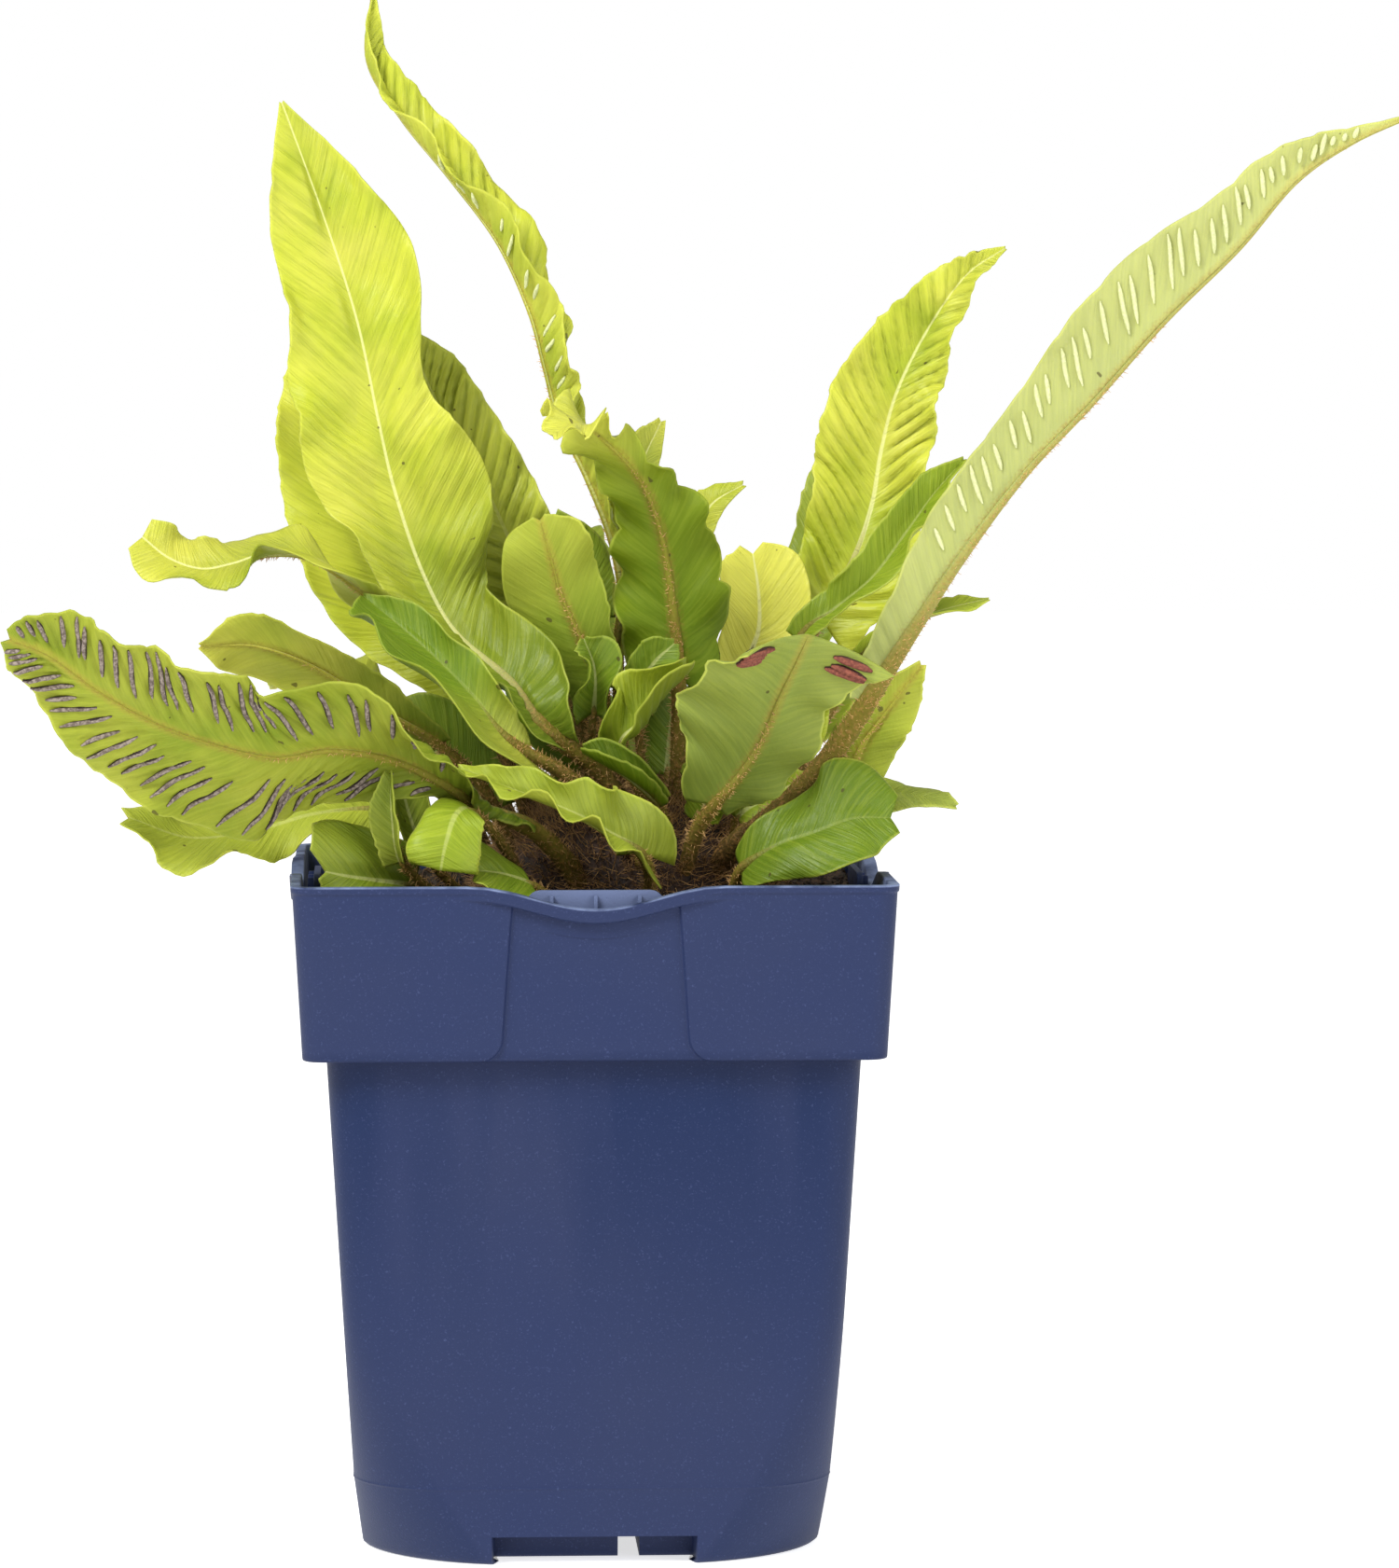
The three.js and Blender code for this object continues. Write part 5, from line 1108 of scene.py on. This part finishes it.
def rim_tabs(paint):
    """The ribbed tab that stands behind the scoop of each side."""
    bm = bmesh.new()
    back = TAB["inset"] - POT["rim_half"]
    half, base, rib = TAB["half"], TAB["base"], TAB["rib_half"]
    slab(bm, (-half, back, base), (half, back + TAB["thick"], TAB["top"]), 0.25, TAB["corner"])
    foot = TAB["foot_inset"] - POT["rim_half"]
    slab(bm, (-half, foot, base), (half, back + 0.4, base + TAB["foot_tall"]), 0.2)
    for x in TAB["ribs"]:
        low, high = (x - rib, back - TAB["rib_deep"], base + 0.5), (x + rib, back + 0.3, TAB["top"] - 0.9)
        slab(bm, low, high, 0.12)
    bmesh.ops.recalc_face_normals(bm, faces=bm.faces)
    front = bm.verts[:] + bm.edges[:] + bm.faces[:]
    for quarter in (1, 2, 3):
        copy = bmesh.ops.duplicate(bm, geom=front)["geom"]
        turned = [part for part in copy if isinstance(part, bmesh.types.BMVert)]
        turn = Matrix.Rotation(quarter * math.pi / 2, 3, "Z")
        bmesh.ops.rotate(bm, verts=turned, cent=(0, 0, 0), matrix=turn)
    mesh = bpy.data.meshes.new("pot_tabs")
    bm.to_mesh(mesh)
    bm.free()
    mesh.materials.append(paint)
    mesh.shade_smooth()
    mesh.set_sharp_from_angle(angle=math.radians(40))
    return new_object("pot_tabs", mesh)


# ---------------------------------------------------------------- soil and crown


def bumps(x, y, z, seed):
    """A soft uneven height from a few sine waves, about -1 to 1."""
    broad = np.sin(1.3 * x + 0.7 * y + seed) * np.cos(1.1 * y - 0.9 * z + 2 * seed)
    middle = 0.5 * np.sin(2.9 * x - 2.3 * y + 1.7 * z + seed)
    return (broad + middle + 0.25 * np.sin(6.1 * x + 5.3 * y - 4.7 * z)) / 1.5


def soil_rise(x, y):
    """The soil's own height over its level, as on its solid, with finer lumps."""
    lumps = np.sin(x * 0.21 + 1.3) * np.cos(y * 0.17 - 0.6) + 0.6 * np.sin(x * 0.47 - y * 0.39)
    fine = 0.5 * bumps(x / 2.3, y / 2.3, 0, 3) + 0.25 * bumps(x / 0.9, y / 0.9, 0, 5)
    return SOIL["swell"] * lumps + SOIL["rise"] * (x + y) + fine


def soil_mesh(pot):
    """The soil from the pot's floor up, with an uneven top that rises from the wall."""
    inset = -pot.wall / MM - SOIL["gap"]
    foot, low = POT["band_foot"], POT["floor"] + 0.5
    rings = [pot_row(body_at, z, inset) for z in (low, 20, 45, 70, foot - 1)]
    rings += [pot_row(band_at, z, inset) for z in (foot + 3, 108, 114, 118, SOIL["top"] - SOIL["edge"])]
    edge = rings[-1]
    for share in np.linspace(1, 0.02, 60)[1:]:
        level = edge * [share, share, 1]
        fade = ease((1 - share) / 0.05)
        rise = soil_rise(level[:, 0], level[:, 1]) * fade
        level[:, 2] = SOIL["top"] - SOIL["edge"] * (1 - fade) + rise
        rings.append(level)
    return closed_grid(np.array(rings), [0, 0, low], rings[-1].mean(0))


def root_lines(seed, count=90, steps=9):
    """Fine roots and fibres that wander over the soil."""
    rng = np.random.default_rng(seed)
    reach = ROOT["reach"]
    spot = rng.uniform(1 - reach, reach - 1, (count, 2))
    heading = rng.uniform(0, 2 * np.pi, count)
    lines = []
    for _ in range(steps):
        height = SOIL["top"] + soil_rise(spot[:, 0], spot[:, 1]) + rng.uniform(-0.2, 0.7, count)
        lines.append(np.stack([spot[:, 0], spot[:, 1], height], -1))
        heading = heading + rng.normal(size=count) * 0.6
        on = ROOT["pace"] * np.stack([np.cos(heading), np.sin(heading)], -1)
        spot = np.clip(spot + on, -reach, reach)
    return np.stack(lines, 1)


def crown_mesh(rows=40, columns=72):
    up = np.linspace(-np.pi / 2, np.pi / 2, rows)[1:-1]
    turn = np.arange(columns) * 2 * np.pi / columns
    up, turn = np.meshgrid(up, turn, indexing="ij")
    out = np.stack([np.cos(up) * np.cos(turn), np.cos(up) * np.sin(turn), np.sin(up)], -1)
    lump = CROWN_LUMP * np.sin(5 * turn + 3 * np.sin(up)) * np.cos(up) ** 2
    fine = 0.7 * bumps(out[..., 0] * 7, out[..., 1] * 7, out[..., 2] * 7, 2)
    points = CROWN_MIDDLE + out * (CROWN_HALVES - 0.4 + (lump + fine)[..., None] * [1, 1, 0.6])
    south, north = (CROWN_MIDDLE + [0, 0, side * CROWN_HALVES[2]] for side in (-1, 1))
    return closed_grid(points, south, north)


# ---------------------------------------------------------------- paints


# Each green's colours, of the upper side and of the underside.
LEAF = {"fresh": ("aeb81c", "a2aa30"), "mid": ("7e9604", "949c2a"), "deep": ("5a7a00", "667804"),
        "dull": ("98a42c", "869228")}
# What is laid over the pieces' own colours, or mixed in them. Some of it is painted light and shade: the
# dark green of the plant's middle, the light and dark of each frond's tone, the pale sheen and the darker
# green beside it, the dark of the furrows, and the dark blue just under the pot's band.
TINT = {"shade": "5d7a04", "yellow": "d6cf58", "grey": "b4b57c", "inner": "3f5a00", "light": "dcd858",
        "dark": "3d5800", "swell": "e2e284", "sheen_shade": "7f9608", "rib below": "a8923a", "furrow_shade": "54700a",
        "vein": "d2d850", "between veins": "4d6404", "dust": "8a5f2c", "spot": "3a2a12", "hair": "9c7440",
        "haze": "2b3149", "shade under band": "0a1638", "root": "4a3320", "root end": "9a7a52", "crown": "1c100a",
        "crown ridge": "402a1b"}
# Of spore cases: the core's two colours, and the lips'.
SORI_TINT = {"ripe": ("5c4f47", "8f8278", "2c1f18"), "young": ("c2c68c", "cfd39c", "b2b878"),
             "brown": ("6a3428", "8a4c3a", "3a1c14")}


def tint(name):
    return rgb(TINT[name])


def vein_noise(paint, pitch, detail, over, on):
    """Noise drawn out along the veins, at a pitch in mm. over and on are its pace across the blade and
    along it."""
    across, along, _ = paint.attribute("blade").parts()
    lean = along - across.size() * VEIN_LEAN
    return paint.noise(1 / pitch, detail, paint.vector(lean, across * over, along * on))


def blade_colour(paint, green, leaves, lower_side, yellow, streak):
    """A blade's colour: blotches, a painted sheen and veins, painted shade in the plant's middle and in the
    furrows, and painted light and shade along each frond, with a pale rib and margin."""
    across, _, edge = paint.attribute("blade").parts()
    off_rib = across.size()
    ridge, rib, t = paint.attribute("relief").parts()
    tone = paint.attribute("tone", "Fac")
    upper_side = 1 - lower_side
    # How much painted shade the plant's dense middle takes.
    inner = middle_shade_share(paint)
    blotch = paint.noise(55, 3)
    # Noise of the painted sheen, drawn out along the veins.
    swell = vein_noise(paint, SHEEN_PITCH, 2, 0.35, 0.1)
    dust = paint.noise(1900, 1).within(0.52, 0.6) * (off_rib + t * 1.5).within(2.6, 0.4) * lower_side
    rib_line = (off_rib - rib).within(0.15, -0.1) * upper_side
    margin = edge.within(leaves.margin / MM * 1.3, leaves.margin / MM * 0.5)
    upper, lower = map(rgb, LEAF[green])
    return paint.layers(
        upper,
        (lower_side, lower),
        (off_rib.within(9, 0) * 0.3 + blotch.within(0.5, 0.3) * 0.25, tint("shade")),
        (yellow * blotch.within(0.3, 0.75) * (1 - inner), tint("yellow")),
        (0 - yellow, tint("grey")),
        # Painted shade: darker green in the plant's dense middle, where the yellow above is also held back.
        (inner * 0.6, tint("inner")),
        # Painted light and painted shade along each frond, partly its own colour.
        (tone, tint("light")),
        (0 - tone, tint("dark")),
        # Painted sheen: pale green on the upper side, and darker green as painted shade where it is missing.
        (swell.within(0.48, 0.62) * upper_side * 0.35, tint("swell")),
        (swell.within(0.52, 0.38) * 0.4, tint("sheen_shade")),
        (lower_side * off_rib.within(1.6, 0.5) * 0.35, tint("rib below")),
        # Painted shade in the furrows between the broad ridges.
        (ridge.within(0.1, -1) * (0.24 - lower_side * 0.12), tint("furrow_shade")),
        (streak.within(0.45, 0.65) * (0.09 - lower_side * 0.03), tint("vein")),
        (streak.within(0.55, 0.35) * (0.14 - lower_side * 0.06), tint("between veins")),
        (dust * 0.55, tint("dust")),
        (rib_line * (yellow * 0.7 + 0.08), leaves.rib),
        (margin * blotch.within(0.3, 0.7) * 0.4, leaves.edge),
        (paint.noise(420, 1).within(0.765, 0.785) * 0.7, tint("spot")))


def leaf_paint(green, leaves):
    """A blade's paint, glossy on the upper side and dull on the underside, and the scaly stalk's."""
    paint = Paint(f"leaf_{green}", Subsurface_Weight=0.12, Subsurface_Radius=(0.9, 1.0, 0.1),
                  Subsurface_Scale=0.001, Specular_IOR_Level=0.2)
    under, stalk, yellow = paint.attribute("kind").parts()
    t = paint.attribute("relief").parts()[2]
    lower_side = under.within(0.4, 0.6)
    streak = vein_noise(paint, leaves.vein_pitch / MM, 3, 0.07, 0.02)
    colour = blade_colour(paint, green, leaves, lower_side, yellow, streak)
    grain = paint.noise(1100, 2)
    hair = paint.noise(1500, 3)
    bark = paint.layers(leaves.bark, ((t + paint.noise(240, 2) * 0.7).within(0.35, 1.25), leaves.stalk),
                        (hair.within(0.5, 0.66) * 0.55, tint("hair")))
    rough = 0.33 + lower_side * 0.25 + stalk * 0.25 + grain * 0.1
    height = streak * (1.6 - lower_side) + grain * 0.4 + hair * stalk * 2
    return paint.finish(height, 0.0002, paint.mix(stalk, colour, bark), rough)


def middle_shade_share(paint):
    """Share of painted shade: 1 in the dense middle of the plant, 0 out where the blades are free."""
    x, y, z = paint.place.parts()
    x = x - float(CROWN_MIDDLE[0]) * MM
    away = (x * x + y * y).root()
    return away.within(0.06, 0.025) * z.within(0.2, 0.15)


def plain_paint(name, first, second, scale, rough, depth):
    """Two colours mixed by noise, with a grainy surface."""
    paint = Paint(name)
    noise = paint.noise(scale, 4)
    colour = paint.mix(noise.within(0.35, 0.65), first, second)
    return paint.finish(paint.noise(scale * 3, 3), depth, colour, rough + noise * 0.1)


def scale_paint(scales):
    """Brown at a stalk's foot, golden further up."""
    paint = Paint("scales")
    share = paint.attribute("share", "Fac")
    colour = paint.mix((share + paint.noise(300) * 0.8).within(0.3, 1.3), scales.dark, scales.gold)
    return paint.finish(paint.noise(900), 0.00002, colour, 0.6)


def sori_paint(name, core, lip):
    paint = Paint(name)
    noise = paint.noise(1800, 3)
    return paint.finish(noise, 0.0003, paint.mix(noise.within(0.4, 0.62), core, lip), 0.85)


def pot_paint(pot):
    """Dull blue plastic, finely speckled, paler where it is rubbed. It carries painted shade that deepens up
    the body to the band, broken by upright streaks whose paler parts are painted highlights, painted shade
    just under the band and on the corners' bows, and painted light on the tabs. Its places are in
    millimetres.
    """
    paint = Paint("matte_plastic", Specular_IOR_Level=0.22)
    x, y, z = (part * (1 / MM) for part in paint.place.parts())
    foot, half, base = POT["band_foot"], TAB["half"], TAB["base"]
    # Upright streaks that break the painted shade below the band; their paler parts are painted highlights.
    flow = paint.noise(1, 2, paint.vector(x * 0.055, y * 0.055, z * 0.005))
    shade_below_band = z.within(30, 85) * z.within(foot + 2, foot - 2)
    haze = paint.noise(26, 4)
    grain = paint.noise(2600, 2)
    # Where the tabs stand inside the rim, for their painted light.
    outer = y.size().within(TAB["outer"] + 0.1, TAB["outer"] - 0.1)
    behind = y.size().within(TAB["inner"] - 0.1, TAB["inner"] + 0.1)
    tab = x.size().within(half + 0.2, half) * outer * behind * z.within(base - 0.5, base)
    colour = paint.layers(
        pot.blue,
        (haze.within(0.35, 0.75) * 0.3, tint("haze")),
        # Painted shade that deepens up the body towards the band, streaked with painted highlights.
        (shade_below_band * (flow.within(0.42, 0.58) * 0.75 + 0.1), pot.flow),
        # Painted shade on the corners' bows.
        (paint.attribute("bow", "Fac") * 0.45, pot.flow),
        # Painted shade just under the band's foot.
        (z.within(foot - 8, foot - 0.5) * z.within(foot + 2, foot - 0.5) * 0.4, tint("shade under band")),
        # Painted light: the tabs, which stand in the rim's shade, made paler.
        (tab * 0.6, pot.worn_and_lit),
        (grain.within(0.6, 0.74) * 0.2, pot.speck),
        (paint.noise(1100, 2).within(0.72, 0.76) * 0.2, pot.speck),
        (paint.attribute("wear", "Fac") * paint.noise(180, 4).within(0.3, 0.65), pot.worn_and_lit))
    rough = 0.42 + haze * 0.15 + grain * 0.1
    return paint.finish(grain + haze * 0.5, 0.00006, colour, rough)


def soil_paint(name, soil, pale):
    """Soil, bark and grit: each crumb takes its own colour from where it lies."""
    paint = Paint(name)
    crumb = paint.noise(900, 3)
    wide = paint.noise(260, 3)
    colour = paint.layers(soil.dark, (crumb.within(0.42, 0.72) * 0.75, soil.light),
                          (wide.within(0.68, 0.74) * pale, soil.grit))
    return paint.finish(crumb, 0.0006, colour, 0.82 + crumb * 0.1)


# ---------------------------------------------------------------- operators


def settings(context, key):
    return getattr(context.scene, f"fern_{key}")


class FERN_OT_pot(bpy.types.Operator):
    """Builds the pot with its recessed panels, scooped rim, ribbed tabs and drain channels"""

    bl_idname = "fern.pot"
    bl_label = "Pot"

    def execute(self, context):
        pot = settings(context, "pot")
        paint = pot_paint(pot)
        points, faces, wear, bow = pot_shell(pot)
        shell = mesh_piece("pot_shell", points, faces, paint, wear=wear, bow=bow)
        cut_channels(shell)
        shell.data.set_sharp_from_angle(angle=math.radians(50))
        settle(shell, "pot", "pot")
        settle(rim_tabs(paint), "pot")
        return {"FINISHED"}


class FERN_OT_soil(bpy.types.Operator):
    """Builds the lumpy soil with its crumbs, grit and loose roots"""

    bl_idname = "fern.soil"
    bl_label = "Soil"

    def execute(self, context):
        soil = settings(context, "soil")
        points, faces = soil_mesh(settings(context, "pot"))
        paint = soil_paint("soil_ground", soil, 0.3)
        settle(mesh_piece("soil_ground", points, faces, paint), "soil", "soil")
        bed = mesh_piece("soil_crumbs", points, faces, paint)
        crumb_growth().run(bed, Density=soil.crumbs * 1e4, Size=soil.crumb, Seed=soil.seed,
                           Material=soil_paint("soil_crumbs", soil, 0.9))
        settle(bed, "soil")
        lines = root_lines(soil.seed)
        brown = plain_paint("roots", tint("root"), tint("root end"), 300, 0.7, 0.0001)
        girth = ROOT["radius"] * np.linspace(1, ROOT["end"], lines.shape[1])
        settle(tubes("soil_roots", lines, girth, 6, brown), "soil")
        return {"FINISHED"}


class FERN_OT_crown(bpy.types.Operator):
    """Builds the scaly crown that the fronds grow from"""

    bl_idname = "fern.crown"
    bl_label = "Crown"

    def execute(self, context):
        bark = plain_paint("crown_bark", tint("crown"), tint("crown ridge"), 420, 0.75, 0.0006)
        settle(mesh_piece("crown_core", *crown_mesh(), bark), "crown", "crown")
        return {"FINISHED"}


class FERN_OT_fronds(bpy.types.Operator):
    """Builds every frond with its ridges, veins, margin, rib and stalk"""

    bl_idname = "fern.fronds"
    bl_label = "Fronds"

    def execute(self, context):
        leaves = settings(context, "leaves")
        paints = {green: leaf_paint(green, leaves) for green in LEAF}
        for order, frond in enumerate(FRONDS):
            green = frond["green"]
            piece = frond_piece(frond, order, leaves, paints[green])
            settle(piece, f"leaf_{green}", f"frond_{frond['name']}")
        return {"FINISHED"}


class FERN_OT_scales(bpy.types.Operator):
    """Builds the hair-like scales of the stalks and the crown"""

    bl_idname = "fern.scales"
    bl_label = "Scales"

    def execute(self, context):
        scales = settings(context, "scales")
        sets = [stalk_scales(frond, order, scales) for order, frond in enumerate(FRONDS)]
        lines, share = (np.concatenate(group) for group in zip(*sets, crown_scales(scales)))
        taper = scales.girth / MM * np.array([1, 0.25])
        settle(tubes("scales", lines, taper, 3, scale_paint(scales), share=share[:, None]), "crown")
        return {"FINISHED"}


class FERN_OT_sori(bpy.types.Operator):
    """Builds the rows of spore cases under the ripe fronds"""

    bl_idname = "fern.sori"
    bl_label = "Spore cases"

    def execute(self, context):
        leaves = settings(context, "leaves")
        for order, frond in enumerate(FRONDS):
            if frond["sori"]:
                self.grow(frond, frond["sori"], *sori_lines(frond, order, leaves))
        return {"FINISHED"}

    def grow(self, frond, spec, lines, below):
        """The cases, raised over the underside, and the lips that lie on it."""
        core, pale, lip = map(rgb, SORI_TINT[spec["paint"]])
        girth = spec["radius"] * np.array([0.3, 0.85, 1, 1, 1, 0.85, 0.3])
        for name, colours, out, share in (("sori", (core, pale), 0.4, 0.85), ("lips", (lip, lip), 0, 1)):
            paint = sori_paint(f"{name}_{spec['paint']}", *colours)
            raised = lines + out * spec["radius"] * below
            row = tubes(f"{name}_{frond['name']}", raised, girth * share, 8, paint)
            settle(row, f"leaf_{frond['green']}")


def surround(strength):
    """Even light from all round, seen as plain white where nothing stands before it."""
    world = bpy.data.worlds.new("surround")
    world.use_nodes = True
    nodes, links = world.node_tree.nodes, world.node_tree.links
    back = nodes["Background"]
    back.inputs["Color"].default_value = (1, 1, 1, 1)
    power = nodes.new("ShaderNodeMapRange")
    power.inputs["To Min"].default_value = strength
    power.inputs["To Max"].default_value = 1.0
    links.new(nodes.new("ShaderNodeLightPath").outputs["Is Camera Ray"], power.inputs["Value"])
    links.new(power.outputs["Result"], back.inputs["Strength"])
    return world


def area_light(name, size, power, place, target):
    """A round light that looks at a target, all in metres."""
    light = bpy.data.lights.new(name, "AREA")
    light.shape = "DISK"
    light.size = size
    light.energy = power
    thing = new_object(name, light)
    thing.location = place
    thing.rotation_euler = (Vector(target) - Vector(place)).to_track_quat("-Z", "Y").to_euler()
    return thing


class FERN_OT_stage(bpy.types.Operator):
    """Builds the pale floor, the soft lights and the camera"""

    bl_idname = "fern.stage"
    bl_label = "Stage"

    def execute(self, context):
        stage = settings(context, "stage")
        half = stage.floor / MM / 2
        corners = [(-half, -half, 0), (half, -half, 0), (half, half, 0), (-half, half, 0)]
        white = (1, 1, 1, 1)
        floor_paint = Paint("floor", Roughness=0.9, Emission_Color=white, Emission_Strength=stage.glow)
        floor_paint.feed(floor_paint.shader.inputs["Base Color"], stage.pale)
        mesh_piece("floor", corners, [(0, 1, 2, 3)], floor_paint.material)
        context.scene.world = surround(stage.sky)
        area_light("key", 0.9, stage.key, (-0.9, -1.0, 1.5), (0, 0, 0.12))
        area_light("fill", 1.2, stage.fill, (1.3, -1.1, 0.8), (0, 0, 0.12))
        self.aim(context)
        return {"FINISHED"}

    def aim(self, context):
        data = bpy.data.cameras.new("camera")
        data.lens = CAMERA["lens"]
        data.sensor_width = 36
        data.clip_end = 30
        camera = new_object("camera", data)
        camera.location = [value * MM for value in CAMERA["place"]]
        camera.rotation_euler = (math.radians(90 - CAMERA["pitch"]), 0, -math.radians(CAMERA["yaw"]))
        context.scene.camera = camera
        context.scene.view_settings.view_transform = "Standard"


OPERATORS = [FERN_OT_pot, FERN_OT_soil, FERN_OT_crown, FERN_OT_fronds, FERN_OT_scales, FERN_OT_sori,
             FERN_OT_stage]


class FERN_PT_panel(bpy.types.Panel):
    """The fern's sizes, colours and pieces"""

    bl_idname = "FERN_PT_panel"
    bl_label = "Hart's-tongue fern"
    bl_space_type = "VIEW_3D"
    bl_region_type = "UI"
    bl_category = "Fern"

    def draw(self, context):
        for key, group in SETTINGS.items():
            box = self.layout.box()
            box.label(text=key.capitalize())
            for name in group.__annotations__:
                box.prop(settings(context, key), name)
        for operator in OPERATORS:
            self.layout.operator(operator.bl_idname)


def register():
    for kind in (*SETTINGS.values(), *OPERATORS, FERN_PT_panel):
        bpy.utils.register_class(kind)
    for key, group in SETTINGS.items():
        setattr(bpy.types.Scene, f"fern_{key}", PointerProperty(type=group))


def unregister():
    for key in SETTINGS:
        delattr(bpy.types.Scene, f"fern_{key}")
    for kind in reversed((*SETTINGS.values(), *OPERATORS, FERN_PT_panel)):
        bpy.utils.unregister_class(kind)


def main():
    register()
    bpy.ops.fern.pot()
    bpy.ops.fern.soil()
    bpy.ops.fern.crown()
    bpy.ops.fern.fronds()
    bpy.ops.fern.scales()
    bpy.ops.fern.sori()
    bpy.ops.fern.stage()


if __name__ == "__main__":
    main()
